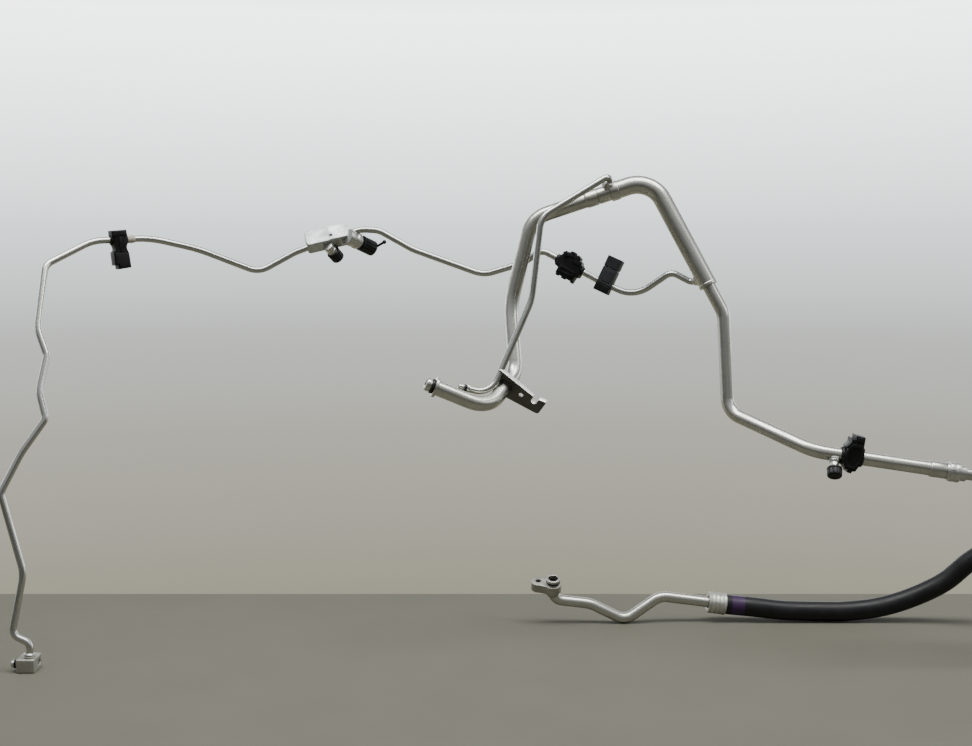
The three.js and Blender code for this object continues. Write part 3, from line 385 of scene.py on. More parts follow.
def metal(name, tone, rough, stains=0.5, streaks=True, grain=0.15, dark=(0.1, 0.095, 0.075)):
    """Bare aluminium: cloudy tone, small dark stains, fine draw lines along the tube and a faint ripple."""
    material, nodes, links, shader = new_material(name)
    cloud = texture(nodes, links, "ShaderNodeTexNoise", 55, Detail=5, Roughness=0.6)
    pale = tuple(min(1, c * 1.12) for c in tone)
    dull = tuple(c * 0.84 for c in tone)
    base = ramp(nodes, links, cloud, (0.3, dull), (0.55, tone), (0.78, pale))
    spots = texture(nodes, links, "ShaderNodeTexNoise", 240, Detail=4, Roughness=0.7)
    patches = texture(nodes, links, "ShaderNodeTexNoise", 26, Detail=2)
    spotted = ramp(nodes, links, spots, (0.64, grey(0)), (0.73, grey(1)))
    patched = ramp(nodes, links, patches, (0.5, grey(0)), (0.66, grey(stains)))
    mask = mixed(nodes, links, 1.0, spotted, patched, "MULTIPLY")
    color = mixed(nodes, links, mask, base, dark)
    links.new(color, shader.inputs["Base Color"])
    shader.inputs["Metallic"].default_value = 1.0
    wear = ramp(nodes, links, cloud, (0.3, grey(rough * 1.3)), (0.7, grey(rough * 0.82)))
    if streaks:
        drawn = texture(nodes, links, "ShaderNodeTexNoise", 900, (1, 0.012, 1), space="UV", Detail=3)
        lines = ramp(nodes, links, drawn, (0.35, grey(0.86)), (0.65, grey(1.1)))
        wear = mixed(nodes, links, 1.0, wear, lines, "MULTIPLY")
        height = mixed(nodes, links, 0.5, drawn, spots)
    else:
        height = texture(nodes, links, "ShaderNodeTexNoise", 700, Detail=4)
    links.new(wear, shader.inputs["Roughness"])
    bumped(nodes, links, shader, height, grain, 0.0003)
    return material


def moulded(name, tone, rough=0.5, grain=0.25, dust=0.06):
    """Moulded plastic or rubber: fine spark-eroded grain, with a trace of pale dust in patches."""
    material, nodes, links, shader = new_material(name)
    patches = texture(nodes, links, "ShaderNodeTexNoise", 60, Detail=4)
    dusty = tuple(min(1, c + dust) for c in tone)
    color = ramp(nodes, links, patches, (0.45, tone), (0.85, dusty))
    links.new(color, shader.inputs["Base Color"])
    links.new(ramp(nodes, links, patches, (0.3, grey(rough * 0.85)), (0.75, grey(min(1, rough * 1.25)))),
              shader.inputs["Roughness"])
    shader.inputs["Specular IOR Level"].default_value = 0.28
    fine = texture(nodes, links, "ShaderNodeTexNoise", 1600, Detail=3)
    bumped(nodes, links, shader, fine, grain, 0.0002)
    return material


def hose_rubber(name, tone, sheen_rough):
    """Hose cover: smooth black rubber with faint wrapped-cloth ribs along it and dull handling marks."""
    material, nodes, links, shader = new_material(name)
    marks = texture(nodes, links, "ShaderNodeTexNoise", 45, Detail=6, Roughness=0.65)
    pale = tuple(c + 0.006 for c in tone)
    links.new(ramp(nodes, links, marks, (0.4, tone), (0.8, pale)), shader.inputs["Base Color"])
    links.new(ramp(nodes, links, marks, (0.3, grey(sheen_rough)), (0.75, grey(sheen_rough + 0.2))),
              shader.inputs["Roughness"])
    shader.inputs["Specular IOR Level"].default_value = 0.32
    lines = texture(nodes, links, "ShaderNodeTexNoise", 700, (1, 0.03, 1), space="UV", Detail=3)
    bumped(nodes, links, shader, lines, 0.25, 0.0004)
    return material


TUBE_TONE = (0.54, 0.54, 0.49)
drawn_tube = metal("drawn_aluminium", TUBE_TONE, 0.3)
thin_tube = metal("thin_tube_aluminium", (0.52, 0.525, 0.49), 0.27, stains=0.6)
machined = metal("machined_aluminium", (0.56, 0.56, 0.53), 0.33, streaks=False, stains=0.4)
pale_block = metal("milled_block_aluminium", (0.5, 0.52, 0.51), 0.55, streaks=False, stains=0.25)
cast = metal("forged_aluminium", (0.42, 0.415, 0.37), 0.48, streaks=False, stains=0.6, grain=0.35)
crimped = metal("crimped_aluminium", (0.55, 0.55, 0.5), 0.5, streaks=False, stains=0.7, grain=0.6)
braze = metal("brazed_ring", (0.72, 0.72, 0.7), 0.42, streaks=False, stains=0.3, grain=0.5)
# Bracket plate: its dark faces are painted shade, its pale edges are painted highlight
dark_plate = metal("dark_plate", (0.13, 0.128, 0.115), 0.45, streaks=False, stains=0.5, grain=0.3)
plate_edge = metal("plate_edge_painted_highlight", (0.62, 0.62, 0.6), 0.42, streaks=False, stains=0.4)
# Near-black inside the tube bores: painted shade of the deep holes
painted_bore_shade = moulded("bore_painted_shade", (0.012, 0.012, 0.01), 0.5, grain=0.1, dust=0.01)
black = moulded("black_plastic", (0.004, 0.004, 0.0045), 0.45, dust=0.012)
charcoal = moulded("charcoal_plastic", (0.026, 0.027, 0.03), 0.5, dust=0.015)
charcoal_light = moulded("charcoal_plastic_lighter", (0.036, 0.037, 0.041), 0.46, dust=0.02)
seal = moulded("seal_rubber", (0.008, 0.01, 0.009), 0.3, grain=0.05, dust=0.01)
cover = hose_rubber("hose_cover", (0.006, 0.006, 0.007), 0.36)
violet = hose_rubber("hose_colour_band", (0.035, 0.012, 0.055), 0.36)
tape = moulded("beige_tape", (0.42, 0.39, 0.32), 0.75, grain=0.6, dust=0.03)

# Hose first, since it is the free cord
compressor_leg = COMPRESSOR_TUBE[-2:]
return_leg = RETURN_PIPE[-2:]
compressor_stations = bent([*COMPRESSOR_TUBE[:-1], between(*compressor_leg, LOWER_FERRULE_FROM + 20)])
compressor_axis = compressor_stations[-1][1]
return_axis = (place(return_leg[1]) - place(return_leg[0])).normalized()
hose_inset = 2 + GAP
lower_end = [hose_inset, FERRULE_LENGTH, FERRULE_LENGTH + HOSE["straight"]]
hose_points = [between(*compressor_leg, LOWER_FERRULE_FROM + d) for d in lower_end]
hose_points += [place(point) for point in HOSE_ROUTE]
hose_points += [between(*return_leg, UPPER_FERRULE_FROM + d) for d in reversed(lower_end)]
hose_line = smooth_curve(hose_points)


def split_at(line, distances):
    """The line with points added at these distances from its start, and the places of those points in it."""
    out, marks, run = [line[0]], [], 0
    left = sorted(distances)
    for a, b in zip(line, line[1:]):
        span = (b - a).length
        while left and run + span > left[0]:
            out.append(a.lerp(b, (left.pop(0) - run) / span))
            marks.append(len(out) - 1)
        out.append(b)
        run += span
    return out, marks


band_from, band_to = (FERRULE_LENGTH - hose_inset + d for d in HOSE["band"])
hose_line, (band_first, band_last) = split_at(hose_line, (band_from, band_to))
hose = Piece("suction_hose_cover").sweep(
    headed(hose_line), HOSE["outer"], sides=48, band=(band_first, band_last, 1),
).done(["suction_hose"], "hose_rubber", cover, violet)


def ferrule(name, at):
    """Crimped shell: a rolled neck at the tube, two rows of jaw marks and a lip over the hose."""
    outer = [
        (24.8, 0), (26.6, 0.5), (26.6, 1.7), (25.4, 2.3), (25.4, 3.2), (27.4, 3.8), (27.4, 7.6), (26.2, 8.2),
        (26.2, 9.4), (27.4, 10), (27.4, 12.6), (26.0, 13.2), (26.0, 14.4), (27.6, 15), (27.6, 17.4),
        (26.6, 18),
        (26.6, 19), (27.8, 19.8), (27.8, 21.6), (27.0, 22),
    ]
    profile = [*outer, (25.4, 22), (25.4, 2), (15.6, 2), (15.6, 0)]
    shell = Piece(name + "_shell").turn(profile, at, 0.35, closed=True, ribs=(10, 0.28, 3.5, 18))
    shell.done([name], "crimped_aluminium", crimped)


ferrule("ferrule_lower", frame_at(between(*compressor_leg, LOWER_FERRULE_FROM), compressor_axis, Z))
ferrule("ferrule_upper", frame_at(between(*return_leg, UPPER_FERRULE_FROM), return_axis, Z))


def spigot(size, root):
    """Spigot profile with the groove for its sealing ring, from the face that it stands on."""
    groove, lip = size["neck"], size["neck"] + size["seat"]
    top = lip + size["lip"]
    return [
        (size["outer"], root), (size["outer"], groove), (size["groove"], groove), (size["groove"], lip),
        (size["outer"], lip), (size["outer"], top),
        (size["outer"] - 2 * size["chamfer"], top + size["chamfer"]),
    ]


def seal_ring(name, size, proud, at):
    """Round-section rubber ring in its groove."""
    middle = size["neck"] + size["seat"] / 2
    thick = size["seat"] - 2 * GAP
    outer = size["outer"] + proud
    deep = (outer - size["groove"]) / 2 - GAP
    steps = 14
    profile = []
    for k in range(steps):
        t = 2 * math.pi * k / steps
        profile.append((outer - deep + deep * math.cos(t), middle + thick / 2 * math.sin(t)))
    Piece(name + "_rubber").turn(profile, at, 0, closed=True).done([name], "seal_rubber", seal, sharp=80)


PORT = {"neck": 1.6, "seat": 3, "lip": 3, "chamfer": 0.7, "outer": 17, "groove": 13.2, "bore": 11.8}
EVAPORATOR_SPIGOT = {
    "neck": 4, "seat": 4, "lip": 5, "chamfer": 1.2, "outer": 15.8, "groove": 13.4, "flange": 24, "bore": 11.6,
}
BRANCH_SPIGOT = {
    "neck": 3, "seat": 3.4, "lip": 5.4, "chamfer": 1.4, "outer": 7.4, "groove": 5.8, "flange": 12, "bore": 4,
}
CONDENSER_SPIGOT = {
    "neck": 1.6, "seat": 2.6, "lip": 2.4, "chamfer": 0.8, "outer": 8.6, "groove": 6.8, "bore": 4,
}


def flanged_spigot(piece, size, at, sides=48):
    outer = [(size["flange"], 0), (size["flange"], size["neck"]), *spigot(size, size["neck"])[2:]]
    return piece.ring(outer, size["bore"], at, round_by=0.5, sides=sides)


def brazed(piece, tip, outward, tube, depth, slot=1):
    """Bright ring of braze where a tube leaves its socket."""
    at = frame_at(tip + outward * depth, outward, X if abs(outward.x) < 0.9 else Y)
    bore = tube["outer"] + 0.05
    return piece.ring([(bore + 3.6, -0.6), (bore + 3.2, 0.5), (bore + 1.2, 1.1), (bore + 0.3, 1.9)], bore, at,
                      round_by=0.3, sides=32, slot=slot)


# Evaporator pipe, with its spigot and the flare that takes the return pipe
inlet_axis = (place(EXCHANGER_BEND) - place(INLET_BEND)).normalized()


def on_inlet(distance):
    return frame_at(between(INLET_BEND, EXCHANGER_BEND, distance), inlet_axis, Z)


evaporator_stations = bent([
    *EVAPORATOR_PIPE, INLET_BEND, between(INLET_BEND, EXCHANGER_BEND, FLARE["mouth"] - FLARE["depth"] + GAP)])
outward = -evaporator_stations[0][1]
spigot_at = frame_at(evaporator_stations[0][0] - outward * (EVAPORATOR_SPIGOT["neck"] - 1), outward, Z)
# Its bore takes the near-black painted shade
pipe = Piece("suction_tube_upper_pipe").sweep(
    evaporator_stations, EVAPORATOR["outer"], EVAPORATOR["bore"], sides=44, inner=1)
flanged_spigot(pipe, EVAPORATOR_SPIGOT, spigot_at)
pipe.ring(
    [(18.05, 0), (FLARE["outer"], FLARE["taper"]), (FLARE["outer"], FLARE["length"])], 16.6,
    on_inlet(FLARE["mouth"] - FLARE["length"]), round_by=0.6)
pipe.done(["suction_tube_upper"], "aluminium_tube", drawn_tube, painted_bore_shade)
seal_ring("o_ring_evaporator_suction", EVAPORATOR_SPIGOT, 2.2, spigot_at)

# Heat exchanger jacket. Its collars close round the return pipe
COLLAR_BORE = 16.6
exchanger_stations = bent([between(INLET_BEND, EXCHANGER_BEND, 108), EXCHANGER_BEND, RETURN_PIPE[0]])
outlet_axis = (place(RETURN_PIPE[0]) - place(EXCHANGER_BEND)).normalized()
outlet_end = place(EXCHANGER_BEND) + outlet_axis * 148
exchanger_stations[-1] = (outlet_end - outlet_axis * 3, outlet_axis)
branch_stations = bent(LIQUID_BRANCH)
middle_stations = bent(LIQUID_MIDDLE)
left_stations = bent(LIQUID_LEFT)
jacket = Piece("heat_exchanger_jacket_shell").sweep(
    exchanger_stations, JACKET["outer"], JACKET["bore"], sides=48)
inlet_collar = [
    (19.2, 0), (20, 0.6), (20, 15), (20.6, 15.4), (23.6, 15.9), (23.6, 25.4), (22.8, 26), (21.8, 26),
]
outlet_collar = [(21.9, -4.4), (22.4, -4.2), (23, -3.6), (23, -0.5), (22.2, 0)]
jacket.ring(inlet_collar, COLLAR_BORE, on_inlet(FLARE["mouth"] + GAP), round_by=0.5)
jacket.ring(outlet_collar, COLLAR_BORE, frame_at(outlet_end, outlet_axis, X))
for tip, away in (
    (branch_stations[0][0], branch_stations[0][1]),
    (middle_stations[-1][0], -middle_stations[-1][1]),
):
    boss_at = frame_at(tip - away * 3, away, Y)
    jacket.ring([(14.5, 0), (12.4, 2.4), (11.5, 5), (11.5, 6.5)], 8.6, boss_at, round_by=0.6)
    brazed(jacket, tip, away, LIQUID, 3.5)
jacket.done(["heat_exchanger_jacket"], "aluminium_tube", drawn_tube, braze)

# Return pipe, its sleeve, the joint collar and the stem
return_start = between(INLET_BEND, EXCHANGER_BEND, FLARE["mouth"] - FLARE["depth"])


def on_return(distance):
    return frame_at(between(*return_leg, distance), return_axis, Z)


# Its bore takes the near-black painted shade
pipe = Piece("suction_tube_lower_pipe").sweep(
    bent([return_start, EXCHANGER_BEND, *RETURN_PIPE[:-1], between(*return_leg, SLEEVE["from"] + 4)]),
    RETURN["outer"], RETURN["bore"], sides=44, inner=1)
STEM_BORE = 15.6
sleeve = [(16.05, 0), (SLEEVE["outer"], 1), (SLEEVE["outer"], SLEEVE["length"])]
pipe.ring(sleeve, STEM_BORE, on_return(SLEEVE["from"]), round_by=0.5)
pipe.done(["suction_tube_lower"], "aluminium_tube", drawn_tube, painted_bore_shade)
collar = Piece("joint_collar_ring").ring([
    (18.4, 0), (19, 0.4), (19, 3), (21.8, 3.3), (22.6, 4), (22.6, 8.6), (21.6, 9), (21.6, 10), (22.6, 10.4),
    (22.6, 14.6), (21.8, 15.2), (18.4, 15.6), (18, 16.2), (18, 21.8), (17.4, 22.5),
], STEM_BORE, on_return(COLLAR_FROM), round_by=0.3)
key_at = on_return(COLLAR_FROM + 5.6) @ frame_at(Vector((4.5, 10.6, 0)), Vector((0.38, 0.92, 0)), Z)
collar.plate([[(-2.2, -0.8), (2.2, -0.8), (2.2, 0.8), (-2.2, 0.8)]], 1.6, key_at, 0.3, slot=1)
collar.done(["joint_collar"], "machined_aluminium", machined, braze)
stem_line = [between(*return_leg, SLEEVE["from"] + 4.3), between(*return_leg, UPPER_FERRULE_FROM + 20)]
Piece("hose_stem_upper_tube").sweep(headed(stem_line), STEM["outer"], STEM["bore"], sides=40).done(
    ["hose_stem_upper"], "aluminium_tube", drawn_tube)

# Compressor tube and its block
block_out = -compressor_stations[0][1]
block_at = frame_at(compressor_stations[0][0] + block_out * 4, block_out, X)
EAR_AT, EAR, BOSS, BLOCK_DEPTH, BOLT_HOLE = (-18.4, 5), 17.8, 21, 12, 7
# Its bore takes the near-black painted shade
Piece("compressor_tube_pipe").sweep(
    compressor_stations, STEM["outer"], STEM["bore"], sides=44, inner=1,
).done(["compressor_tube"], "aluminium_tube", drawn_tube, painted_bore_shade)


def arc(centre, diameter, start, end, steps):
    turns = [math.radians(start + (end - start) * k / steps) for k in range(steps + 1)]
    return [(centre[0] + diameter / 2 * math.cos(t), centre[1] + diameter / 2 * math.sin(t)) for t in turns]


def round_hole(centre, diameter, steps=28):
    return arc(centre, diameter, 0, 360, steps)[:-1]


lean = math.degrees(math.atan2(EAR_AT[1], EAR_AT[0]))
outline = [
    *arc((0, 0), BOSS, lean - 180 - 122, lean - 180 + 122, 34),
    *arc(EAR_AT, EAR, lean - 112, lean + 112, 30),
]
block = Piece("compressor_block_body").plate(
    [outline, round_hole((0, 0), PORT["bore"]), round_hole(EAR_AT, BOLT_HOLE)], BLOCK_DEPTH,
    block_at @ Matrix.Translation((0, 0, -BLOCK_DEPTH / 2)), 0.7)
block.ring(spigot(PORT, -0.3), PORT["bore"], block_at, round_by=0.5, slot=1)
block_foot = block_at @ Matrix.Translation((0, 0, -BLOCK_DEPTH))
block.ring([(16.4, -4.2), (17.6, -2.2), (19.5, 0.3)], 15.6, block_foot, round_by=0.5)
ear_top = block_at @ Matrix.Translation((*EAR_AT, 0))
block.ring([(10.4, 0), (10.4, 0.25), (BOLT_HOLE + 0.6, 0.25)], BOLT_HOLE, ear_top, round_by=0.1, slot=1)
block.done(["compressor_block"], "machined_aluminium", cast, machined)
seal_ring("o_ring_compressor", PORT, 0.8, block_at)

# Liquid tubes
Piece("liquid_tube_left_pipe").sweep(left_stations, LIQUID["outer"], LIQUID["bore"], sides=28).done(
    ["liquid_tube_left"], "aluminium_tube", thin_tube)
Piece("liquid_tube_middle_pipe").sweep(middle_stations, LIQUID["outer"], LIQUID["bore"], sides=28).done(
    ["liquid_tube_middle"], "aluminium_tube", thin_tube)
branch = Piece("liquid_tube_branch_pipe").sweep(branch_stations, LIQUID["outer"], LIQUID["bore"], sides=28)
branch_out = branch_stations[-1][1]
branch_at = frame_at(branch_stations[-1][0] - branch_out * (BRANCH_SPIGOT["neck"] - 1), branch_out, Z)
flanged_spigot(branch, BRANCH_SPIGOT, branch_at, 36)
branch.done(["liquid_tube_branch"], "aluminium_tube", thin_tube)
seal_ring("o_ring_evaporator_liquid", BRANCH_SPIGOT, 1.6, branch_at)

# Condenser block
start = left_stations[0][0]
foot_at = frame_at(Vector((start.x, start.y, 0)), Z, X)


def rounded_box(left, right, front, back, radius, steps=6):
    return [
        *arc((right - radius, back - radius), 2 * radius, 0, 90, steps),
        *arc((left + radius, back - radius), 2 * radius, 90, 180, steps),
        *arc((left + radius, front + radius), 2 * radius, 180, 270, steps),
        *arc((right - radius, front + radius), 2 * radius, 270, 360, steps),
    ]


side_at = frame_at(Vector((-3, 0, 0)), X, Y)
side_outline = rounded_box(-8, 20, 0, 16, 2)
block = Piece("condenser_block_body").plate(
    [side_outline, round_hole((12, 8), 6.8)], 20, foot_at @ side_at, 0.8)
socket = [(0, 15), (13.4, 15), (13, 16.4), (13, 18.1), (11.2, 18.1), (11.2, 20.2), (8.6, 20.2), (8.6, 15)]
block.turn(socket, foot_at, 0.4)
port_at = foot_at @ frame_at(Vector((-13, 0, 9)), -X, Z)
block.ring(spigot(CONDENSER_SPIGOT, -0.3), CONDENSER_SPIGOT["bore"], port_at, round_by=0.4, sides=36, slot=1)
brazed(block, foot_at @ Vector((0, 0, 18.4)), left_stations[0][1], LIQUID, 1.8)
block.done(["condenser_block"], "machined_aluminium", cast, machined)
seal_ring("o_ring_condenser", CONDENSER_SPIGOT, 1.6, port_at)

# Valve block with its two ports
left_end, right_end = left_stations[-1][0], middle_stations[0][0]
valve_along = (right_end - left_end).normalized()
TILT = math.radians(38)
valve_at = frame_at((left_end + right_end) / 2, Vector((0, -math.cos(TILT), math.sin(TILT))), valve_along)
LARGE = {"seat": (-176, 67, 485), "axis": (0.72, 0.58, -0.38), "boss": 21, "out": 15, "stem": 13}
SMALL = {"seat": (-202, 66, 472.5), "axis": (0.45, 0.65, -0.6), "boss": 13, "out": 9, "stem": 10}
valve_outline = [
    (-24.5, -5.8), (24.8, -5.8), (27.6, -5), (31.6, -1), (32, 1), (32, 7.4), (31.4, 9.4), (25, 15.8),
    (22.6, 16.8),
    (-23.6, 16.8), (-26.6, 15.6), (-28, 12.6), (-28, -2.4), (-27, -4.8),
]
valve_pad = [(2, -5.2), (25, -5.2), (31.4, -0.6), (31.4, 7.6), (24.4, 16.2), (2, 16.2)]
pin_hole = round_hole((4.6, 1.6), 4, 20)
block = Piece("valve_block_body").plate(
    [valve_outline, pin_hole], 19, valve_at @ Matrix.Translation((0, 0, -2)), 1.0)
block.plate([valve_pad, pin_hole], 1.4, valve_at @ Matrix.Translation((0, 0, 7.6)), 0.4, slot=1)
for port in (LARGE, SMALL):
    axis = Vector(port["axis"]).normalized()
    seat = Vector(port["seat"])
    at = frame_at(seat, axis, Z)
    size, out = port["boss"], port["out"]
    block.turn([(0, -2), (size, -2), (size, out * 0.42), (size - 1.2, out * 0.47), (size - 1.2, out * 0.6),
                (size, out * 0.66), (size, out), (4, out), (4, 1), (0, 1)], at, 0.4, slot=2)
block.done(["valve_block"], "machined_aluminium", pale_block, pale_block, machined)


def cap_profile(outer, length, clear, stem, wall=1.8):
    top = clear + length
    bore = stem + 0.8
    return [
        (bore, clear), (outer - 0.6, clear), (outer, clear + 0.8), (outer, clear + 2),
        (outer - 0.8, clear + 2.4),
        (outer - 0.2, clear + 3), (outer - 0.2, top - 2.2), (outer - 1.4, top - 0.8), (outer - 4, top),
        (outer * 0.5, top), (outer * 0.42, top - 0.5), (0, top - 0.5), (0, top - wall), (bore, top - wall),
        (bore, clear),
    ]


def port_and_cap(port, cap, name, strap=None):
    axis = Vector(port["axis"]).normalized()
    at = frame_at(Vector(port["seat"]) + axis * (port["out"] + GAP), axis, Z)
    outer, length, clear = cap
    stem_out = clear + length - 3.6
    stem, shoulder = port["stem"], port["stem"] + 3
    Piece(f"service_port_{name}_stem").ring(
        [(shoulder, 0), (shoulder, clear - GAP), (stem, clear), (stem, stem_out)], 4, at, round_by=0.3,
    ).done([f"service_port_{name}"], "machined_aluminium", machined)
    piece = Piece(f"cap_{name}_moulding").turn(
        cap_profile(outer, length, clear, stem), at, 0.3, sides=96,
        ribs=(16, 0.55, clear + 2.6, clear + length - 1.5))
    if strap:
        root = at @ Vector((0, 0, clear + length - 1.2))
        knob = Vector(strap)
        heading = (knob - root).normalized()
        waist = root.lerp(knob, 0.75)
        piece.sweep([(root, heading), (waist, heading), (knob, heading)], 3.4, sides=16)
        piece.turn([(0, -2.7), (3.4, -2.3), (5.2, -1), (5.4, 0), (5.2, 1), (3.4, 2.3), (0, 2.7)],
                   frame_at(knob, heading, Z), 0.6, sides=24)
    piece.done([f"cap_{name}"], "black_plastic", black)


port_and_cap(LARGE, (20.4, 22, 4), "large", (-131.6, 84, 478.6))
port_and_cap(SMALL, (17.6, 14, 1.5), "small")

# Suction service port on the return pipe
port_axis = Vector((0, -0.635, -0.773))
port_axis = (port_axis - return_axis * port_axis.dot(return_axis)).normalized()
at = frame_at(between(*return_leg, 23.6), port_axis, return_axis)
Piece("suction_service_port_stem").ring([
    (13.4, 7.2), (12, 8.6), (12, 10), (9.6, 11), (9, 12), (9, 15.6), (11, 16.6), (11, 17.6), (10, 18),
    (10, 25.4),
], 4, at, round_by=0.4).done(["suction_service_port"], "machined_aluminium", machined)
Piece("cap_suction_moulding").turn(
    cap_profile(17.2, 11, 18.5, 10), at, 0.3, sides=96, ribs=(16, 0.5, 21, 28.2),
).done(["cap_suction"], "black_plastic", black)

# Bracket plate, its broad faces dark as painted shade and its edges pale as painted highlight. Its bore fits
# the evaporator pipe
PLATE_BORE = 18.9
leg = place(EVAPORATOR_PIPE[2]) - place(EVAPORATOR_PIPE[1])
leg.normalize()
bracket_at = frame_at(place(EVAPORATOR_PIPE[1]) + leg * 46, -leg, Vector((0.81, -0.093, -0.585)))
outline = [
    *arc((0, 0), 28, 180, 302, 14), (46, -4), *arc((47, 0.5), 8, 290, 360, 5), (51, 20), (49.6, 21),
    (42.6, 18.8), (41.5, 18.2),
    *arc((38, 10.5), 7, 0, -180, 14), (34.5, 16), (33.6, 16.9), (-15.8, 20.2), (-17, 19.2),
]
plate = Piece("evaporator_bracket_plate").plate(
    [outline, round_hole((0, 0), PLATE_BORE, 40), round_hole((21.3, 6.8), 5.4)], 6, bracket_at, 0.5)
# Edge faces take the pale painted highlight, the broad faces keep the dark painted shade
for face in plate.bm.faces:
    face.normal_update()
    if abs(face.normal.dot(leg)) < 0.8:
        face.material_index = 1
plate.ring([(22.4, -4.2), (21.2, -3.2), (20.6, 3.2), (19.6, 4.2)], PLATE_BORE, bracket_at, round_by=0.5)
plate.done(["evaporator_bracket"], "dark_plate", dark_plate, plate_edge)

# Clips: moulded bodies with a rim, a recessed web and their latch teeth


def clip_at(stations_route, leg_index, distance, lean=0):
    """Frame of a clip: x along the tube, y up the clip, z towards the front."""
    a, b = place(stations_route[leg_index]), place(stations_route[leg_index + 1])
    along = (b - a).normalized()
    front = (-Y + along * along.y).normalized()
    return frame_at(a + along * distance, front, along) @ Matrix.Rotation(math.radians(lean), 4, "Z")


def clip(name, outline, depth, tube, at, extras=()):
    """Body round the tube with a collar at each side. extras are (loops, thickness, height, slot)."""
    piece = Piece(name + "_moulding").plate([outline], depth, at, 0.9)
    for loops, thickness, height, index in extras:
        raised = at @ Matrix.Translation((0, 0, height))
        piece.plate(loops, thickness, raised, min(0.4, thickness * 0.3), slot=index)
    across = tube["outer"]
    reach = max(abs(x) for x, y in outline if abs(y) < 12)
    for end in (-1, 1):
        collar_at = at @ frame_at(Vector((end * (reach - 3), 0, 0)), X * end, Z)
        piece.ring(
            [(across + 5, 0), (across + 4.4, 3.2), (across + 2, 4.2)], across + 0.5, collar_at, round_by=0.4,
            sides=32)
    return piece


LEFT_OUTLINE = [
    (-9.5, 11.5), (-9.5, 4.5), (-7, 2), (-9, -4), (-6.8, -9.5), (-6.8, -12.5), (-9.6, -15), (-9.4, -31),
    (-5.6, -31),
    (-5, -36), (10.5, -35), (9.6, -17), (7.6, -12), (7.6, -8.5), (9.4, -5), (8, 2.5), (9.6, 4.5), (9, 11.5),
]
clip("clip_left", LEFT_OUTLINE, 15, LIQUID, clip_at(LIQUID_LEFT, 11, 32, 2), (
    ([[(-8.4, 10.4), (-8.4, 5), (8.4, 5), (8, 10.4)]], 2, 7.6, 0),
    ([[(-8, -16), (8.4, -17.4), (8.8, -33.6), (-4, -34.6), (-4.8, -30), (-8, -29.8)]], 2, 7.6, 0),
    ([[(-1.6, 4), (1.6, 4), (1.6, -15), (-1.6, -15)]], 1.6, 7.6, 0),
)).done(["clip_left"], "black_plastic", black)

def lug(angle, low=10, high=17, half=9):
    """Outline of a lug on the round clip, between two radii."""
    turns = [math.radians(angle + side * half) for side in (-1, 1)]
    corners = ((turns[0], low), (turns[1], low), (turns[1], high), (turns[0], high))
    return [(math.cos(t) * r, math.sin(t) * r) for t, r in corners]


MIDDLE_OUTLINE = [
    (-16.2, -3), (-16.2, -7.8), (-10.6, -9), (-10.6, -15.8), (-7.6, -17), (-6.8, -14.2), (-4.8, -17.2),
    (9.2, -17.4),
    (10.2, -13.8), (11.2, -16.6), (13.8, -16.6), (14.4, -10.4), (18.2, -8.4), (18.4, -4.6),
    *arc((0, 0), 31.2, 12, 158, 22),
]
clip("clip_middle", MIDDLE_OUTLINE, 17, LIQUID, clip_at(LIQUID_MIDDLE, 6, 41), (
    ([arc((0, 0), 27, 20, 150, 18) + arc((0, 0), 20, 150, 20, 18)], 2.4, 8.4, 0),
    ([[(-9, -5), (12, -5), (12, -12), (-9, -13)], [(-6, -7), (-6, -11), (9, -10), (9, -7)]], 2.2, 8.4, 0),
    ([[(3, 4), (10, 4), (12, 7.4), (6, 9)]], 2.6, 8.4, 0),
    *(([lug(a)], 14 + 2 * (a % 3), 1.5, 0) for a in (28, 61, 97, 134)),
    ([[(-10.4, -15), (-7, -15), (-7, -18.6), (-10.4, -18.6)]], 9, 0, 0),
    ([[(-2, -16), (3, -16), (3, -19), (-2, -19)]], 9, 0, 0),
    ([[(11, -15), (14.4, -15), (14.4, -19), (11, -19)]], 9, 0, 0),
)).done(["clip_middle"], "black_plastic", black)

half = 9.5
block_at = clip_at(LIQUID_MIDDLE, 7, 7)
piece = Piece("clip_block_moulding")
# Top band charcoal, middle band a lighter copy of the charcoal, bottom band black
for low, high, depth, index in ((20.4, 34, 16, 0), (-1.2, 19.6, 15.6, 1), (-11.5, -2, 15.2, 2)):
    piece.plate([rounded_box(-half, half, low, high, 0.9, 3)], depth, block_at, 0.5, slot=index)
piece.plate([rounded_box(-half + 0.9, half - 0.9, -11, 33.4, 0.4, 2)], 14, block_at, 0.3, slot=2)
pad_at = block_at @ Matrix.Translation((0, 0, 7.8))
piece.plate([rounded_box(-4.5, 7, 2, 17, 1.6, 4)], 1.2, pad_at, 0.4, slot=0)
piece.done(["clip_block"], "grey_plastic", charcoal, charcoal_light, black)

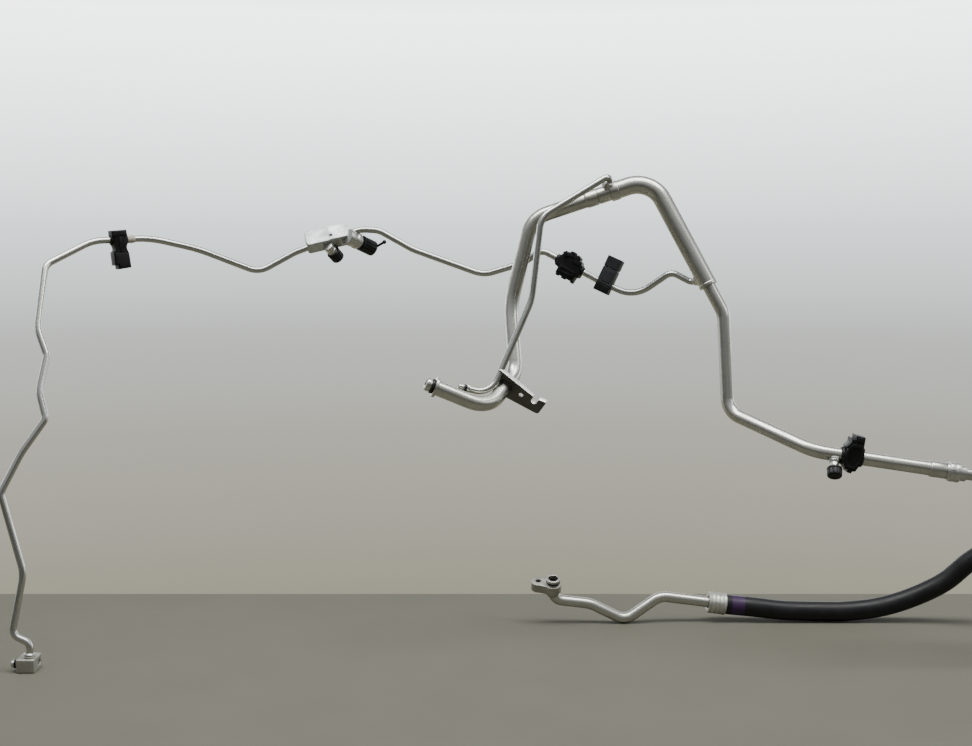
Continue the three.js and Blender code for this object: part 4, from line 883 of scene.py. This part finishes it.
RIGHT_OUTLINE = [
    (-0.5, 26), (-0.5, 21.5), (-5, 22), (-5, 17), (-9.6, 11.8), (-7.8, 9.8), (-11.6, -4), (-7, -14),
    (-4.6, -13.4),
    (-4.4, -17), (0.4, -17.6), (1, -15.4), (4.8, -14.6), (9.4, -5), (11.5, 1.2), (11.5, 11.6), (10, 13.5),
    (10, 25),
]
RIGHT_RIM = [
    (-7.4, 10), (-9.8, -3.6), (-6, -11.6), (3.6, -13), (8, -4.6), (10, 1.6), (10, 10.6), (8.6, 16), (-3, 16),
]
RIGHT_WEB = [
    (-4.6, 8), (-6, -3), (-3.6, -8.4), (2.4, -9.6), (5.4, -3.4), (7, 2), (7, 8.6), (5.6, 12), (-2, 12),
]
clip("clip_right", RIGHT_OUTLINE, 24, RETURN, clip_at(RETURN_PIPE, 2, 42.4), (
    ([[(1, 24.4), (1, 19.4), (8.6, 18.6), (8.6, 23.6)]], 2, 12, 0),
    ([RIGHT_RIM, RIGHT_WEB], 2, 12, 0),
)).done(["clip_right"], "black_plastic", black)

tape_at = clip_at(LIQUID_LEFT, 11, 42.5) @ Matrix.Rotation(math.pi / 2, 4, "Y")
Piece("tape_band_wrap").ring(
    [(9.3, 0), (9.9, 0.5), (9.7, 3), (10, 5.5), (9.7, 8), (9.4, 9.5)], 8.7, tape_at, round_by=0.4, sides=32,
).done(["tape_band"], "beige_tape", tape)

# Stage: a plain floor that ends just behind the part, as a table does
FLOOR_BACK, FLOOR_FRONT, FLOOR_HALF = 0.185, -4.0, 6.0
bm = bmesh.new()
front, back = (
    [bm.verts.new((x, y, 0)) for x in (-FLOOR_HALF, FLOOR_HALF)] for y in (FLOOR_FRONT, FLOOR_BACK))
bm.faces.new([*front, *reversed(back)])
mesh = bpy.data.meshes.new("floor")
bm.to_mesh(mesh)
bm.free()
floor = bpy.data.objects.new("floor", mesh)
bpy.context.scene.collection.objects.link(floor)
material, nodes, links, shader = new_material("studio_floor")
mottle = texture(nodes, links, "ShaderNodeTexNoise", 9, Detail=6)
tone = ramp(nodes, links, mottle, (0.3, (0.122, 0.119, 0.093)), (0.7, (0.13, 0.127, 0.099)))
links.new(tone, shader.inputs["Base Color"])
shader.inputs["Roughness"].default_value = 0.85
shader.inputs["Specular IOR Level"].default_value = 0.2
floor.data.materials.append(material)

# Light: a pale backdrop behind the part, a darker room in front of it, and soft boxes
world = bpy.data.worlds.new("studio")
bpy.context.scene.world = world
world.use_nodes = True
nodes, links = world.node_tree.nodes, world.node_tree.links
background = nodes["Background"]
coordinates = nodes.new("ShaderNodeTexCoord")
separate = nodes.new("ShaderNodeSeparateXYZ")
links.new(coordinates.outputs["Generated"], separate.inputs["Vector"])


def ranged(value, low, high):
    """Maps a value from low..high to 0..1."""
    node = nodes.new("ShaderNodeMapRange")
    node.inputs["From Min"].default_value = low
    node.inputs["From Max"].default_value = high
    links.new(value, node.inputs["Value"])
    return node.outputs["Result"]


backdrop = ramp(
    nodes, links, ranged(separate.outputs["Z"], -0.3, 0.3),
    (0.06, (0.1, 0.095, 0.073)), (0.26, (0.138, 0.135, 0.117)),
    (0.38, (0.18, 0.187, 0.18)), (0.5, (0.33, 0.36, 0.365)), (0.63, (0.63, 0.67, 0.68)),
    (0.75, (0.97, 1.0, 1.0)),
    (0.83, (0.45, 0.47, 0.48)), (1.0, (0.11, 0.115, 0.12)),
)
room = ramp(
    nodes, links, separate.outputs["Z"], (0.0, (0.012, 0.012, 0.011)), (0.12, (0.03, 0.03, 0.029)),
    (0.5, (0.11, 0.115, 0.12)), (1.0, (0.15, 0.15, 0.15)),
)
links.new(
    mixed(nodes, links, ranged(separate.outputs["Y"], -0.1, 0.4), room, backdrop), background.inputs["Color"])
background.inputs["Strength"].default_value = 4.0


def soft_box(name, at, aim, width, depth, power):
    light = bpy.data.lights.new(name, "AREA")
    light.shape = "RECTANGLE"
    light.size, light.size_y = width, depth
    light.energy = power
    holder = bpy.data.objects.new(name, light)
    holder.location = at
    holder.rotation_euler = (Vector(aim) - Vector(at)).to_track_quat("-Z", "Y").to_euler()
    bpy.context.scene.collection.objects.link(holder)


soft_box("overhead", (0.0, -0.3, 2.0), (0, 0.05, 0.25), 2.6, 0.8, 66)
soft_box("right_fill", (2.4, -0.8, 1.6), (0.2, 0, 0.3), 0.8, 0.8, 8)

camera = bpy.data.objects.new("camera", bpy.data.cameras.new("camera"))
camera.data.lens = CAMERA_LENS
camera.data.sensor_width = 36
camera.location = TO_ROW @ Vector(CAMERA_AT)
camera.rotation_euler = (math.pi / 2 - CAMERA_DOWN, 0, 0)
bpy.context.scene.collection.objects.link(camera)
bpy.context.scene.camera = camera
